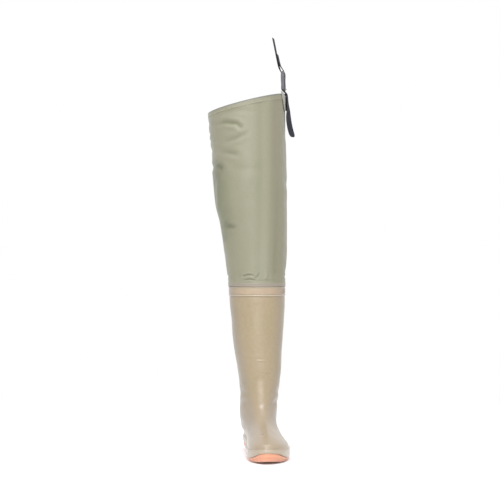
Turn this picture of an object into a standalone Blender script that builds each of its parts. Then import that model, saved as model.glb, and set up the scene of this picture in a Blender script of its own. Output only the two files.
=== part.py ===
"""A left hip wader: a moulded boot with a fabric leg welded into it and a belt strap on the outer side.

Millimetres in the tables and functions, metres in the scene. The toe points to -Y, the outer side of the
foot is +X, and the origin is on the floor under the middle of the heel.
"""

import math
from collections import namedtuple

import bmesh
import bpy

MM = 0.001

# Driving dimensions of the foot
FOOT_LENGTH = 285.0
BALL_WIDTH = 99.5
HEEL_BACK = 38.0
TOE_Y = HEEL_BACK - FOOT_LENGTH
TOE_SPRING = 7.0
SPRING_START = -175.0
TIP_SHIFT = -12.0

# Driving dimensions of the boot and the leg
BOOT_WALL = 2.3
BOOT_TOP = 377.0
LEG_WALL = 1.0
LEG_TOP = 816.0
COLLAR_FALL = 0.25
LEG_OUTER_X = 61.3
HIP_TURN = math.radians(-7)
GAP = 0.3
HEEL_BREAST = -46.0
RAND_STEP = 1.8
SIDE_COLUMNS = 22
INSOLE_THICK = 3.0
GROOVE_WIDTH = 4.5
GROOVE_DEPTH = 3.0
GROOVES = [(-216, 0), (-200, 6), (-184, 6), (-168, 6), (-152, 6), (-136, 6), (-22, 0), (19, 0)]
TAB_OUT = 2.3
TAB_THICK = 1.2
TAB_COLUMNS = 8
TAB_TOP = (822.0, 808.0)
TAB_SLANT = 2.4
TAB_LOW = 778.0
TAB_FRONT = (0.2295, 0.33)
TAB_BACK = (0.57, 0.50)

Outline = namedtuple("Outline", "along outer inner")
OUTLINE = [
    Outline(0.00, 0.330, 0.440),
    Outline(0.165, 0.400, 0.466),
    Outline(0.288, 0.478, 0.470),
    Outline(0.375, 0.512, 0.458),
    Outline(0.481, 0.475, 0.432),
    Outline(0.604, 0.418, 0.385),
    Outline(0.726, 0.374, 0.356),
    Outline(0.867, 0.364, 0.354),
    Outline(1.00, 0.364, 0.354),
]
NOSE_LENGTH = 76.0
NOSE_POWER = 2.15
TAIL_LENGTH = 37.0
TAIL_POWER = 2.2

# Heights of the sole's side and of the rand above it, before the toe spring
Edge = namedtuple("Edge", "y sole_top rand_top sole_bottom")
EDGE = [
    Edge(-247, 18.5, 27.0, 0.0),
    Edge(-238, 17.5, 27.0, 0.0),
    Edge(-225, 14.0, 27.0, 0.0),
    Edge(-205, 10.2, 27.0, 0.0),
    Edge(-180, 8.6, 27.0, 0.0),
    Edge(-150, 8.2, 27.0, 0.0),
    Edge(-120, 9.4, 28.0, 0.0),
    Edge(-104, 11.2, 28.8, 6.0),
    Edge(-84, 14.0, 30.2, 9.0),
    Edge(-64, 17.0, 32.0, 10.3),
    Edge(-46, 19.9, 33.8, 10.5),
    Edge(-42, 20.5, 34.1, 0.0),
    Edge(0, 23.5, 36.0, 0.0),
    Edge(38, 24.0, 36.5, 0.0),
]

# The boot's own profile: front and back of each level, and the shaft's half width and centre there
Level = namedtuple("Level", "z front back half centre")
LEVELS = [
    Level(27, -244.5, 35.5, 24.0, -4.0),
    Level(32, -243.4, 35.6, 27.0, -5.0),
    Level(39, -240.6, 35.4, 30.0, -6.0),
    Level(47, -235.0, 34.8, 32.0, -6.0),
    Level(53.5, -226.0, 34.0, 34.5, -6.0),
    Level(59, -212.0, 33.1, 36.5, -5.6),
    Level(64, -193.0, 32.3, 38.0, -5.0),
    Level(68.5, -171.0, 31.4, 39.8, -4.6),
    Level(74, -150.5, 30.6, 41.5, -4.5),
    Level(81, -130.0, 30.0, 42.6, -4.3),
    Level(97.5, -112.5, 29.8, 43.5, -3.8),
    Level(113, -99.5, 30.2, 43.6, -2.8),
    Level(132, -92.0, 31.4, 43.9, -1.4),
    Level(152, -88.5, 33.6, 45.8, -1.0),
    Level(191, -87.0, 38.0, 49.4, -1.2),
    Level(229, -87.0, 42.0, 53.6, -2.8),
    Level(266, -87.5, 45.0, 57.5, -3.2),
    Level(303, -88.5, 46.5, 60.0, -2.6),
    Level(340, -90.0, 47.0, 62.8, -3.2),
    Level(377, -92.0, 46.8, 63.5, -3.9),
    Level(392, -92.6, 46.7, 63.6, -4.2),
]
SHAFT_FRONT = -88.5
SHAFT_START = 152.0
SHAFT_POWER = 2.1

# The fabric leg's inner face, in axes turned with the hip
Leg = namedtuple("Leg", "z centre half back_reach middle")
LEG = [
    Leg(377, -3.9, 63.85, 69.75, -22.6),
    Leg(392, -4.2, 63.95, 70.0, -22.95),
    Leg(414, -5.8, 66.0, 71.6, -22.5),
    Leg(451, -7.1, 69.4, 75.0, -21.5),
    Leg(488, -9.9, 72.5, 79.5, -20.5),
    Leg(525, -12.8, 75.5, 84.0, -19.5),
    Leg(562, -17.3, 80.0, 89.0, -18.5),
    Leg(599, -19.2, 81.8, 93.0, -17.5),
    Leg(635, -21.0, 83.2, 96.0, -16.5),
    Leg(691, -22.4, 83.2, 98.5, -15.5),
    Leg(731, -24.8, 85.1, 100.0, -14.5),
    Leg(775, -26.2, 86.5, 101.0, -13.5),
    Leg(816, -27.0, 87.0, 102.0, -12.5),
]
SLANT_START = 600.0
HEM_DEPTH = 14.0
HEM_STEP = 0.8
LAP_TOP = 389.0
LAP_STEP = 0.5

# Webbing, in axes set on the leg's outer side: out from the hem's face, height, twist in degrees, width
STRAP_SHARE = 0.42
STRAP_TURN = math.radians(-6.6)
WEB_WIDTH = 25.0
WEB_THICK = 1.6
Web = namedtuple("Web", "out z turn width")
STRAP_TOP = [
    Web(-27.8, 943.0, 3, 25),
    Web(-20.4, 906.0, 3, 25),
    Web(-15.2, 880.0, 3, 25),
    Web(-12.6, 871.5, 2, 25),
    Web(-9.6, 866.0, 0, 25),
]
STRAP_END = [
    Web(-4.6, 869.5, 0, 25),
    Web(-9.4, 876.8, 2, 25),
    Web(-12.7, 882.0, 3, 25),
    Web(-18.2, 906.0, 3, 25),
]
STANDING = [
    Web(2.9, 777.0, 0, 25),
    Web(2.9, 806.0, 0, 25),
    Web(2.4, 813.0, 0, 25),
    Web(0.2, 818.0, 0, 25),
    Web(-4.6, 821.6, 0, 25),
    Web(-7.3, 824.5, 0, 25),
    Web(-7.6, 829.0, 0, 25),
]
TAIL = [
    Web(-2.9, 837.0, 0, 25),
    Web(-5.3, 830.5, 0, 25),
    Web(-5.6, 826.2, 0, 25),
    Web(-3.2, 823.1, 0, 25),
    Web(1.8, 819.2, 0, 25),
    Web(4.3, 813.6, 0, 25),
    Web(4.9, 806.0, 0, 25),
    Web(5.3, 797.0, 2, 25),
    Web(6.3, 787.0, 6, 25),
    Web(7.1, 779.0, 11, 25),
    Web(7.1, 771.0, 16, 25),
    Web(7.3, 763.0, 20, 25),
    Web(8.2, 753.0, 23, 25),
    Web(10.8, 738.0, 25, 25),
    Web(14.2, 725.5, 26, 25),
    Web(15.7, 721.0, 26, 22.5),
    Web(16.5, 718.6, 26, 17.5),
    Web(16.9, 717.4, 26, 10),
]

# Bars of the buckle: where the webbing bends round, and how far the side plates lie apart
Bar = namedtuple("Bar", "out z radius")
TOP_BAR = Bar(-5.0, 862.0, 2.2)
MIDDLE_BAR = Bar(-4.8, 846.0, 2.0)
PLATE_INSIDE = 13.3
PLATE_OUTSIDE = 16.5
PLATE_EDGE = [
    (-8.0, 866.0), (-2.2, 867.0), (-0.6, 860.0), (-1.2, 846.0), (-0.2, 829.5), (-1.2, 824.2),
    (-5.5, 823.4), (-8.4, 838.0), (-9.2, 857.0),
]
GRIP_EDGE = [
    (-3.5, 825.8), (-4.3, 828.2), (-2.4, 829.8), (1.4, 828.4), (2.0, 826.8), (0.6, 825.6), (-1.8, 824.8),
]

# Heights and steps of the moulded cuff round the top of the boot
Step = namedtuple("Step", "z out")
CUFF = [
    Step(355.4, 0.0),
    Step(356.4, 1.3),
    Step(359.8, 1.3),
    Step(361.0, 0.7),
    Step(373.0, 0.7),
    Step(374.2, 1.4),
    Step(376.2, 1.4),
    Step(377.0, 0.0),
]


def smooth(rows, x, name, key="z"):
    """A monotone cubic through one column of a table."""
    xs = [getattr(r, key) for r in rows]
    ys = [getattr(r, name) for r in rows]
    if x <= xs[0]:
        return ys[0]
    if x >= xs[-1]:
        return ys[-1]
    k = max(i for i in range(len(xs) - 1) if xs[i] <= x)
    slopes = [(ys[i + 1] - ys[i]) / (xs[i + 1] - xs[i]) for i in range(len(xs) - 1)]

    def tangent(i):
        if i == 0 or i == len(xs) - 1:
            return slopes[min(i, len(slopes) - 1)]
        before, after = slopes[i - 1], slopes[i]
        if before * after <= 0:
            return 0.0
        return 2 * before * after / (before + after)

    width = xs[k + 1] - xs[k]
    t = (x - xs[k]) / width
    return (
        ys[k] * (2 * t**3 - 3 * t**2 + 1)
        + ys[k + 1] * (3 * t**2 - 2 * t**3)
        + width * tangent(k) * (t**3 - 2 * t**2 + t)
        + width * tangent(k + 1) * (t**3 - t**2)
    )


def ease(low, high, x):
    t = min(1.0, max(0.0, (x - low) / (high - low)))
    return t * t * (3 - 2 * t)


def rounded(share, power):
    """Height of a superellipse quarter at this share of its length, 0 at its tip."""
    share = min(1.0, max(0.0, share))
    return (1 - (1 - share) ** power) ** (1 / power)


def toe_lift(y):
    run = max(0.0, SPRING_START - y) / (SPRING_START - TOE_Y)
    return TOE_SPRING * run**2


def centre_line(y):
    """The line that the big toe's side and the little toe's side close on."""
    return TIP_SHIFT * ease(0, 1, (-110 - y) / 125)


def sole_edge(y, side):
    """Distance from the centre line to the rand's face, side +1 outer and -1 inner."""
    along = (y - TOE_Y) / FOOT_LENGTH
    share = smooth(OUTLINE, along, "outer" if side > 0 else "inner", "along")
    nose = rounded((y - TOE_Y) / NOSE_LENGTH, NOSE_POWER)
    tail = rounded((HEEL_BACK - y) / TAIL_LENGTH, TAIL_POWER)
    return (share * BALL_WIDTH - side * centre_line(y)) * nose * tail


def ridge_height(y):
    """Height of the vamp's ridge line over this place on the foot."""
    if y >= SHAFT_FRONT:
        return 152 + 4 * (y - SHAFT_FRONT)
    low, high = LEVELS[0].z, 152.0
    for _ in range(30):
        middle = (low + high) / 2
        if smooth(LEVELS, middle, "front") < y:
            low = middle
        else:
            high = middle
    return low


def boot_middle(y, z):
    """Where the two sides of a ring close: over the toes at first, then on the shaft's own centre."""
    share = ease(60, 120, z)
    return centre_line(y) * (1 - share) + smooth(LEVELS, z, "centre") * share


def boot_half(y, z, side):
    """Distance from the ring's middle to the boot's wall above the rand."""
    front, back = smooth(LEVELS, z, "front"), smooth(LEVELS, z, "back")
    heel = ease(-95, -60, y)
    moved = y - (back - LEVELS[0].back) * heel
    dome_share = (z - LEVELS[0].z) / max(ridge_height(y) - LEVELS[0].z, 0.01)
    dome_share = min(1.0, dome_share)
    flank = (side > 0) * (1 - ease(-150, -225, y))
    bulge = 1.45 + 0.45 * ease(-150, -215, y) + 0.6 * flank
    dome = (1 - dome_share**bulge) ** 0.54 * (1 - 0.83 * flank * dome_share**1.6)
    share = (moved - LEVELS[0].front) / (LEVELS[0].back - LEVELS[0].front)
    inset = RAND_STEP * rounded(share * 14, 2) * rounded((1 - share) * 14, 2)
    foot = sole_edge(TOE_Y + FOOT_LENGTH * min(1.0, max(0.0, share)), side) - inset
    foot += side * (centre_line(y) - boot_middle(y, z))
    foot = max(0.0, foot) * dome * (1 - heel * ease(45, 110, z))
    if z < SHAFT_START:
        front = max(front, SHAFT_FRONT)
    middle, reach = (front + back) / 2, (back - front) / 2
    across = min(1.0, abs(y - middle) / reach)
    shaft = (1 - across**SHAFT_POWER) ** (1 / SHAFT_POWER)
    shaft *= smooth(LEVELS, z, "half") + side * (smooth(LEVELS, z, "centre") - boot_middle(y, z))
    shaft *= ease(24, 50, z)
    return (foot**4 + max(0.0, shaft) ** 4) ** 0.25


def turned(x, y, angle):
    return x * math.cos(angle) - y * math.sin(angle), x * math.sin(angle) + y * math.cos(angle)


def shares():
    """Places of the columns along a ring, 0 at the toe and 1 at the heel."""
    even = [(1 - math.cos(math.pi * k / SIDE_COLUMNS)) / 2 for k in range(SIDE_COLUMNS + 1)]
    return sorted(even + [(HEEL_BREAST + 4.0 - TOE_Y) / FOOT_LENGTH])


def around():
    """Columns round a ring: down the outer side from the toe, then back up the inner side."""
    down = shares()
    return [(share, 1) for share in down] + [(share, -1) for share in down[-2:0:-1]]


def edge_ring(part, out=0.0, low="sole_top", high="rand_top", drop=0.0):
    """A ring at the foot's edge between two heights of the edge table, moved out by this much."""
    points = []
    for share, side in around():
        y = TOE_Y + FOOT_LENGTH * share
        bottom, top = smooth(EDGE, y, low, "y"), smooth(EDGE, y, high, "y") - drop
        half = sole_edge(y, side)
        scale = 1 + out / max(half, 30.0)
        middle = (TOE_Y + HEEL_BACK) / 2
        moved = middle + (y - middle) * (1 + 2 * out / FOOT_LENGTH)
        height = bottom + (top - bottom) * part + toe_lift(y)
        points.append((centre_line(y) + side * half * scale, moved, height))
    return points


def boot_ring(z):
    """A ring of the boot's wall at this level. Low rings rise towards the heel with the rand."""
    front, back = smooth(LEVELS, z, "front"), smooth(LEVELS, z, "back")
    twist = HIP_TURN * ease(150, BOOT_TOP, z)
    points = []
    for share, side in around():
        y = front + (back - front) * share
        rise = (smooth(EDGE, y, "rand_top", "y") - LEVELS[0].z) * (1 - ease(LEVELS[0].z, 95, z))
        half = 0.0 if share in (0.0, 1.0) else boot_half(y, z, side)
        x, turned_y = turned(boot_middle(y, z) + side * half, y, twist)
        points.append((x, turned_y, z + rise + toe_lift(y)))
    return points


def leg_point(z, share, side, out=0.0):
    """A place on the leg's inner face or this far outside it, before the hip turn."""
    row = {name: smooth(LEG, z, name) for name in Leg._fields[1:]}
    reach, half = row["back_reach"] + out, row["half"] + out
    along = 2 * share - 1
    x = row["centre"] + side * half * (1 - abs(along) ** SHAFT_POWER) ** (1 / SHAFT_POWER)
    fall = COLLAR_FALL * (LEG_OUTER_X - x) * (max(0.0, z - SLANT_START) / (LEG_TOP - SLANT_START)) ** 1.6
    return x, row["middle"] + reach * along, z - fall


def leg_ring(z):
    """A ring of the leg's inner face. The upper rings slope down to the inside with the collar."""
    points = []
    for share, side in around():
        x, y, height = leg_point(z, share, side)
        points.append((*turned(x, y, HIP_TURN), height))
    return points


def material(name, colour, roughness, metallic=0.0):
    made = bpy.data.materials.new(name)
    made.use_nodes = True
    shader = made.node_tree.nodes["Principled BSDF"]
    shader.inputs["Base Color"].default_value = (*colour, 1.0)
    shader.inputs["Roughness"].default_value = roughness
    shader.inputs["Metallic"].default_value = metallic
    return made


def finish(bm, name, finish_material, sharp=math.radians(35)):
    """Turns a bmesh in millimetres into a named object in metres."""
    bmesh.ops.recalc_face_normals(bm, faces=bm.faces)
    bmesh.ops.scale(bm, vec=(MM, MM, MM), verts=bm.verts)
    mesh = bpy.data.meshes.new(name)
    bm.to_mesh(mesh)
    bm.free()
    mesh.shade_smooth()
    mesh.set_sharp_from_angle(angle=sharp)
    mesh.materials.append(finish_material)
    made = bpy.data.objects.new(name, mesh)
    PARTS.objects.link(made)
    return made


def shell(rings, outs, inner_rows, wall):
    """A hollow wall from rings of its reference face: outs is each ring's step outwards.

    Only the rings listed in inner_rows carry on to the inner face, which stays smooth behind the steps.
    """
    surface = bmesh.new()
    rows = [[surface.verts.new(p) for p in ring] for ring in rings]
    count = len(rings[0])
    for low, high in zip(rows, rows[1:]):
        for k in range(count):
            surface.faces.new((low[k], low[(k + 1) % count], high[(k + 1) % count], high[k]))
    surface.normal_update()
    made = bmesh.new()
    outer = [[made.verts.new(v.co + v.normal * out) for v in row] for row, out in zip(rows, outs)]
    inner = [[made.verts.new(v.co - v.normal * wall) for v in rows[i]] for i in inner_rows]
    for grid, flip, kept in ((outer, False, range(len(rows))), (inner, True, inner_rows)):
        for low, high, base, top in zip(grid, grid[1:], kept, kept[1:]):
            for k in range(count):
                after = (k + 1) % count
                rising = (rows[base][k].co - rows[top][after].co).length
                falling = (rows[base][after].co - rows[top][k].co).length
                if rising < falling:
                    pair = ((low[k], low[after], high[after]), (low[k], high[after], high[k]))
                else:
                    pair = ((low[k], low[after], high[k]), (low[after], high[after], high[k]))
                for corners in pair:
                    made.faces.new(corners[::-1] if flip else corners)
    for k in range(count):
        after = (k + 1) % count
        made.faces.new((inner[0][k], inner[0][after], outer[0][after], outer[0][k]))
        made.faces.new((outer[-1][k], outer[-1][after], inner[-1][after], inner[-1][k]))
    surface.free()
    return made


def build_upper():
    """The moulded boot: rand, foot, ankle and shaft in one wall, with a stepped cuff at the top."""
    rings, outs = [edge_ring(0.0), edge_ring(0.5), edge_ring(0.92)], [0.0, 0.5, 0.0]
    for z in (LEVELS[0].z, *[row.z for row in LEVELS[1:-2]]):
        rings.append(boot_ring(z))
        outs.append(0.0)
    inner_rows = [0] + list(range(3, len(rings)))
    for step in CUFF:
        rings.append(boot_ring(step.z))
        outs.append(step.out)
    inner_rows.append(len(rings) - 1)
    rings.append(boot_ring(LEVELS[-1].z))
    outs.append(0.0)
    inner_rows.append(len(rings) - 1)
    made = shell(rings, outs, inner_rows, BOOT_WALL)
    return finish(made, "upper", PVC)


def build_leg():
    """The coated fabric leg, with a lap over the boot's margin and a folded hem at the collar."""
    start = BOOT_TOP + 0.5
    rows = [(start, LAP_STEP), (LAP_TOP, LAP_STEP), (LAP_TOP + 0.8, 0.0)]
    rows += [(row.z, 0.0) for row in LEG[2:-1]]
    hem = LEG_TOP - HEM_DEPTH
    rows += [(hem - 0.8, 0.0), (hem, HEM_STEP), (LEG_TOP, HEM_STEP)]
    rings = [leg_ring(z) for z, _ in rows]
    outs = [LEG_WALL + out for _, out in rows]
    inner_rows = [k for k, (z, _) in enumerate(rows) if k not in (1, len(rows) - 2)]
    return finish(shell(rings, outs, inner_rows, 0.0), "leg", FABRIC)


def ladder(made, ring, up):
    """Closes a foot-shaped ring with strips that run across the foot."""
    last = len(ring) // 2
    for k in range(last):
        far, near = ring[-k - 1], ring[-k] if k else None
        corners = [ring[k], ring[k + 1]]
        if k + 1 < last:
            corners.append(far)
        if near is not None:
            corners.append(near)
        made.faces.new(corners if up else corners[::-1])


def solid_from_rings(rings):
    """A closed foot-shaped solid from rings that run from its underside to its top."""
    made = bmesh.new()
    rows = [[made.verts.new(p) for p in ring] for ring in rings]
    count = len(rings[0])
    for low, high in zip(rows, rows[1:]):
        for k in range(count):
            made.faces.new((low[k], low[(k + 1) % count], high[(k + 1) % count], high[k]))
    ladder(made, rows[0], False)
    ladder(made, rows[-1], True)
    return made


def box(name, size, middle, angle=0.0):
    """A cutter in millimetres, turned about the vertical."""
    made = bmesh.new()
    bmesh.ops.create_cube(made, size=1.0)
    for vert in made.verts:
        x, y = turned(vert.co.x * size[0], vert.co.y * size[1], angle)
        vert.co = ((x + middle[0]) * MM, (y + middle[1]) * MM, (vert.co.z * size[2] + middle[2]) * MM)
    mesh = bpy.data.meshes.new(name)
    made.to_mesh(mesh)
    made.free()
    cutter = bpy.data.objects.new(name, mesh)
    cutter.hide_render = True
    cutter.display_type = "WIRE"
    CUTTERS.objects.link(cutter)
    return cutter


def cut(target, cutter):
    change = target.modifiers.new("cut", "BOOLEAN")
    change.operation = "DIFFERENCE"
    change.solver = "EXACT"
    change.object = cutter


def build_outsole():
    """The orange sole: toe bumper, ribbed side, arch, heel and lugs between grooves."""
    steps = [(0.0, -6.5), (0.18, -4.4), (0.46, -3.2), (0.56, -1.7), (0.9, -1.2), (1.0, -1.5)]
    rings = [edge_ring(part, out, "sole_bottom", "sole_top", GAP) for part, out in steps]
    sole = finish(solid_from_rings(rings), "outsole", SOLE)
    for k, (y, angle) in enumerate(GROOVES):
        size = (130, GROOVE_WIDTH, 2 * GROOVE_DEPTH)
        cut(sole, box(f"groove_{k}", size, (0, y, toe_lift(y)), math.radians(angle)))
    return sole


def build_insole():
    """The thin footbed that lies on the outsole inside the boot."""
    rings = []
    for height, out in ((0.0, -3.6), (1.6, -3.6), (INSOLE_THICK, -4.8)):
        rings.append([(x, y, z + height) for x, y, z in edge_ring(0.0, out)])
    return finish(solid_from_rings(rings), "insole", FOOTBED)


def strap_place(out, across, z):
    """A point in the strap's own axes, given in the row's axes."""
    x, y, _ = leg_point(LEG_TOP, STRAP_SHARE, 1, LEG_WALL + HEM_STEP)
    side, back = turned(out, across, STRAP_TURN)
    return (*turned(x + side, y + back, HIP_TURN), z)


def arc(bar, start, end, steps):
    """Webbing points round a bar, between two angles in degrees."""
    radius = bar.radius + GAP + WEB_THICK / 2
    points = []
    for k in range(steps + 1):
        angle = math.radians(start + (end - start) * k / steps)
        points.append(Web(bar.out + radius * math.cos(angle), bar.z + radius * math.sin(angle), 0, WEB_WIDTH))
    return points


def eased(path):
    """The same path with its corners cut once."""
    points = [path[0]]
    for a, b in zip(path, path[1:]):
        points.append(Web(*(0.75 * p + 0.25 * q for p, q in zip(a, b))))
        points.append(Web(*(0.25 * p + 0.75 * q for p, q in zip(a, b))))
    return points + [path[-1]]


def ribbon(path, name):
    """A flat webbing along a path in the strap's axes."""
    made = bmesh.new()
    rows = []
    for k, here in enumerate(path):
        before, after = path[max(k - 1, 0)], path[min(k + 1, len(path) - 1)]
        run = math.hypot(after.out - before.out, after.z - before.z)
        rise, lean = (after.z - before.z) / run, (after.out - before.out) / run
        turn = math.radians(here.turn)
        row = []
        half, thick, corner = here.width / 2, WEB_THICK / 2, 0.35
        for wide, deep in (
            (half, -thick + corner), (half, thick - corner), (half - corner, thick), (corner - half, thick),
            (-half, thick - corner), (-half, -thick + corner), (corner - half, -thick), (half - corner, -thick),
        ):
            out = here.out + deep * rise * math.cos(turn) + wide * math.sin(turn)
            across = wide * math.cos(turn) - deep * rise * math.sin(turn)
            row.append(made.verts.new(strap_place(out, across, here.z - deep * lean)))
        rows.append(row)
    for low, high in zip(rows, rows[1:]):
        for k in range(8):
            made.faces.new((low[k], low[(k + 1) % 8], high[(k + 1) % 8], high[k]))
    made.faces.new(rows[0])
    made.faces.new(rows[-1][::-1])
    return finish(made, name, WEBBING)


def build_straps():
    """The belt strap folded round the top bar, and the leg's strap threaded round the middle bar."""
    ribbon(eased(STRAP_TOP) + arc(TOP_BAR, 165, 385, 10) + eased(STRAP_END), "strap_upper")
    ribbon(eased(STANDING) + arc(MIDDLE_BAR, 180, 0, 8) + eased(TAIL), "strap_lower")


def prism(edge, low, high, name):
    """A solid that carries one outline, in the strap's axes, across between two widths."""
    made = bmesh.new()
    ends = [[made.verts.new(strap_place(out, across, z)) for out, z in edge] for across in (low, high)]
    count = len(edge)
    for k in range(count):
        after = (k + 1) % count
        made.faces.new((ends[0][k], ends[0][after], ends[1][after], ends[1][k]))
    made.faces.new(ends[0][::-1])
    made.faces.new(ends[1])
    return finish(made, name, PLASTIC)


def build_buckle():
    """A slide buckle: two side plates joined by a top bar, a middle bar and a grip bar with a lip."""
    buckle = prism(PLATE_EDGE, PLATE_INSIDE, PLATE_OUTSIDE, "buckle")
    pieces = [prism(PLATE_EDGE, -PLATE_OUTSIDE, -PLATE_INSIDE, "plate")]
    for bar in (TOP_BAR, MIDDLE_BAR):
        turns = [math.radians(30 * k + 15) for k in range(12)]
        edge = [(bar.out + bar.radius * math.cos(t), bar.z + bar.radius * math.sin(t)) for t in turns]
        pieces.append(prism(edge, -PLATE_INSIDE - 1.5, PLATE_INSIDE + 1.5, "bar"))
    pieces.append(prism(GRIP_EDGE, -PLATE_INSIDE - 1.5, PLATE_INSIDE + 1.5, "grip"))
    for piece in pieces:
        PARTS.objects.unlink(piece)
        CUTTERS.objects.link(piece)
        piece.hide_render = True
        piece.display_type = "WIRE"
        join = buckle.modifiers.new("join", "BOOLEAN")
        join.operation = "UNION"
        join.solver = "EXACT"
        join.object = piece
    soften = buckle.modifiers.new("soften", "BEVEL")
    soften.width = 0.4 * MM
    soften.segments = 2
    soften.limit_method = "ANGLE"
    soften.angle_limit = math.radians(40)
    return buckle


def build_tab():
    """The fabric tab at the collar that backs the strap, its front corner standing above the hem."""
    made = bmesh.new()
    faces = []
    for out in (TAB_OUT, TAB_OUT + TAB_THICK):
        rows = []
        for down in range(5):
            row = []
            for k in range(TAB_COLUMNS + 1):
                share = k / TAB_COLUMNS
                first = TAB_FRONT[0] + (TAB_FRONT[1] - TAB_FRONT[0]) * down / 4
                last = TAB_BACK[0] + (TAB_BACK[1] - TAB_BACK[0]) * down / 4
                top = TAB_TOP[0] + (TAB_TOP[1] - TAB_TOP[0]) * min(1.0, share * TAB_SLANT)
                z = top + (TAB_LOW - top) * down / 4
                x, y, height = leg_point(z, first + (last - first) * share, 1, out)
                row.append(made.verts.new((*turned(x, y, HIP_TURN), height)))
            rows.append(row)
        faces.append(rows)
    inner, outer = faces
    for rows, flip in ((inner, True), (outer, False)):
        for high, low in zip(rows, rows[1:]):
            for k in range(TAB_COLUMNS):
                corners = (low[k], low[k + 1], high[k + 1], high[k])
                made.faces.new(corners[::-1] if flip else corners)
    for k in range(TAB_COLUMNS):
        made.faces.new((outer[0][k], outer[0][k + 1], inner[0][k + 1], inner[0][k]))
        made.faces.new((inner[-1][k], inner[-1][k + 1], outer[-1][k + 1], outer[-1][k]))
    for j in range(4):
        made.faces.new((inner[j][0], inner[j + 1][0], outer[j + 1][0], outer[j][0]))
        made.faces.new((outer[j][-1], outer[j + 1][-1], inner[j + 1][-1], inner[j][-1]))
    return finish(made, "strap_tab", FABRIC)


for old in list(bpy.data.objects):
    bpy.data.objects.remove(old)
PARTS = bpy.data.collections.new("hip_wader")
CUTTERS = bpy.data.collections.new("cutters")
for group in (PARTS, CUTTERS):
    bpy.context.scene.collection.children.link(group)
PVC = material("boot_pvc", (0.50, 0.42, 0.29), 0.30)
FABRIC = material("leg_fabric", (0.40, 0.39, 0.29), 0.60)
SOLE = material("sole_pvc", (0.83, 0.36, 0.14), 0.40)
FOOTBED = material("footbed", (0.20, 0.20, 0.19), 0.90)
WEBBING = material("webbing", (0.03, 0.03, 0.035), 0.75)
PLASTIC = material("buckle_plastic", (0.06, 0.06, 0.07), 0.35)
build_outsole()
build_upper()
build_insole()
build_leg()
build_tab()
build_straps()
build_buckle()
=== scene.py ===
import math
import bmesh
import bpy
import numpy as np
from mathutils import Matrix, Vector


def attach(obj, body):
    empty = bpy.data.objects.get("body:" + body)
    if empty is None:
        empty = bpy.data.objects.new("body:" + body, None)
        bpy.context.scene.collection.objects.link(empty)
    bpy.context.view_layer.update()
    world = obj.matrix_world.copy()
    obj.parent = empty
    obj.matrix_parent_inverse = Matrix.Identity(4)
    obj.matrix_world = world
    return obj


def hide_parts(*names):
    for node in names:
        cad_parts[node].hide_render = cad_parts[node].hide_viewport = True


# A left hip wader: a moulded boot, a coated fabric leg and a belt strap with a slide buckle.
# Lengths are in millimetres up to the last step, where they become metres.

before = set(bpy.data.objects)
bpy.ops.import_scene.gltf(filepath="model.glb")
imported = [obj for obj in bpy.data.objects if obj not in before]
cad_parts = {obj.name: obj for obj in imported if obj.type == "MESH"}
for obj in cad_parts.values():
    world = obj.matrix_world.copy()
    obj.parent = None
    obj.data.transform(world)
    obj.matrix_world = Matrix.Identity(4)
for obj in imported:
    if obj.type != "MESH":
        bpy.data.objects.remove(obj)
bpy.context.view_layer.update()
millimetre = 0.001
hipTurn = math.radians(-7)
print("frame loaded")

# forms shared with the solids

foot = {"toeY": -247.0, "length": 285.0, "heelBack": 38.0, "ballWidth": 99.5, "toeSpring": 7.0,
        "springStart": -175.0, "tipShift": -12.0, "noseLength": 76.0, "nosePower": 2.15, "tailLength": 37.0,
        "tailPower": 2.2, "randTop": 27.0, "randStep": 1.8, "vampFront": -244.5, "vampBack": 35.5,
        "shaftFront": -88.5, "shaftFrom": 152.0, "bootTop": 377.0, "shaftPower": 2.1}
legForm = {"top": 816.0, "power": 2.1, "collarFall": 0.25, "highX": 61.3, "slantFrom": 600.0, "slantPower": 1.6}

# share along the foot, outer half width, inner half width
outline = np.array([
    (0.00, 0.330, 0.440), (0.165, 0.400, 0.466), (0.288, 0.478, 0.470), (0.375, 0.512, 0.458),
    (0.481, 0.475, 0.432), (0.604, 0.418, 0.385), (0.726, 0.374, 0.356), (0.867, 0.364, 0.354),
    (1.00, 0.364, 0.354)])

# place along the foot, top of the sole's side, top of the rand, underside of the sole
edge = np.array([
    (-247, 18.5, 27.0, 0.0), (-238, 17.5, 27.0, 0.0), (-225, 14.0, 27.0, 0.0), (-205, 10.2, 27.0, 0.0),
    (-180, 8.6, 27.0, 0.0), (-150, 8.2, 27.0, 0.0), (-120, 9.4, 28.0, 0.0), (-104, 11.2, 28.8, 6.0),
    (-84, 14.0, 30.2, 9.0), (-64, 17.0, 32.0, 10.3), (-46, 19.9, 33.8, 10.5), (-42, 20.5, 34.1, 0.0),
    (0, 23.5, 36.0, 0.0), (38, 24.0, 36.5, 0.0)])

# height, front, back, half width of the shaft, its centre
levels = np.array([
    (27, -244.5, 35.5, 24.0, -4.0), (32, -243.4, 35.6, 27.0, -5.0), (39, -240.6, 35.4, 30.0, -6.0),
    (47, -235.0, 34.8, 32.0, -6.0), (53.5, -226.0, 34.0, 34.5, -6.0), (59, -212.0, 33.1, 36.5, -5.6),
    (64, -193.0, 32.3, 38.0, -5.0), (68.5, -171.0, 31.4, 39.8, -4.6), (74, -150.5, 30.6, 41.5, -4.5),
    (81, -130.0, 30.0, 42.6, -4.3), (97.5, -112.5, 29.8, 43.5, -3.8), (113, -99.5, 30.2, 43.6, -2.8),
    (132, -92.0, 31.4, 43.9, -1.4), (152, -88.5, 33.6, 45.8, -1.0), (191, -87.0, 38.0, 49.4, -1.2),
    (229, -87.0, 42.0, 53.6, -2.8), (266, -87.5, 45.0, 57.5, -3.2), (303, -88.5, 46.5, 60.0, -2.6),
    (340, -90.0, 47.0, 62.8, -3.2), (377, -92.0, 46.8, 63.5, -3.9), (392, -92.6, 46.7, 63.6, -4.2)])

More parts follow.
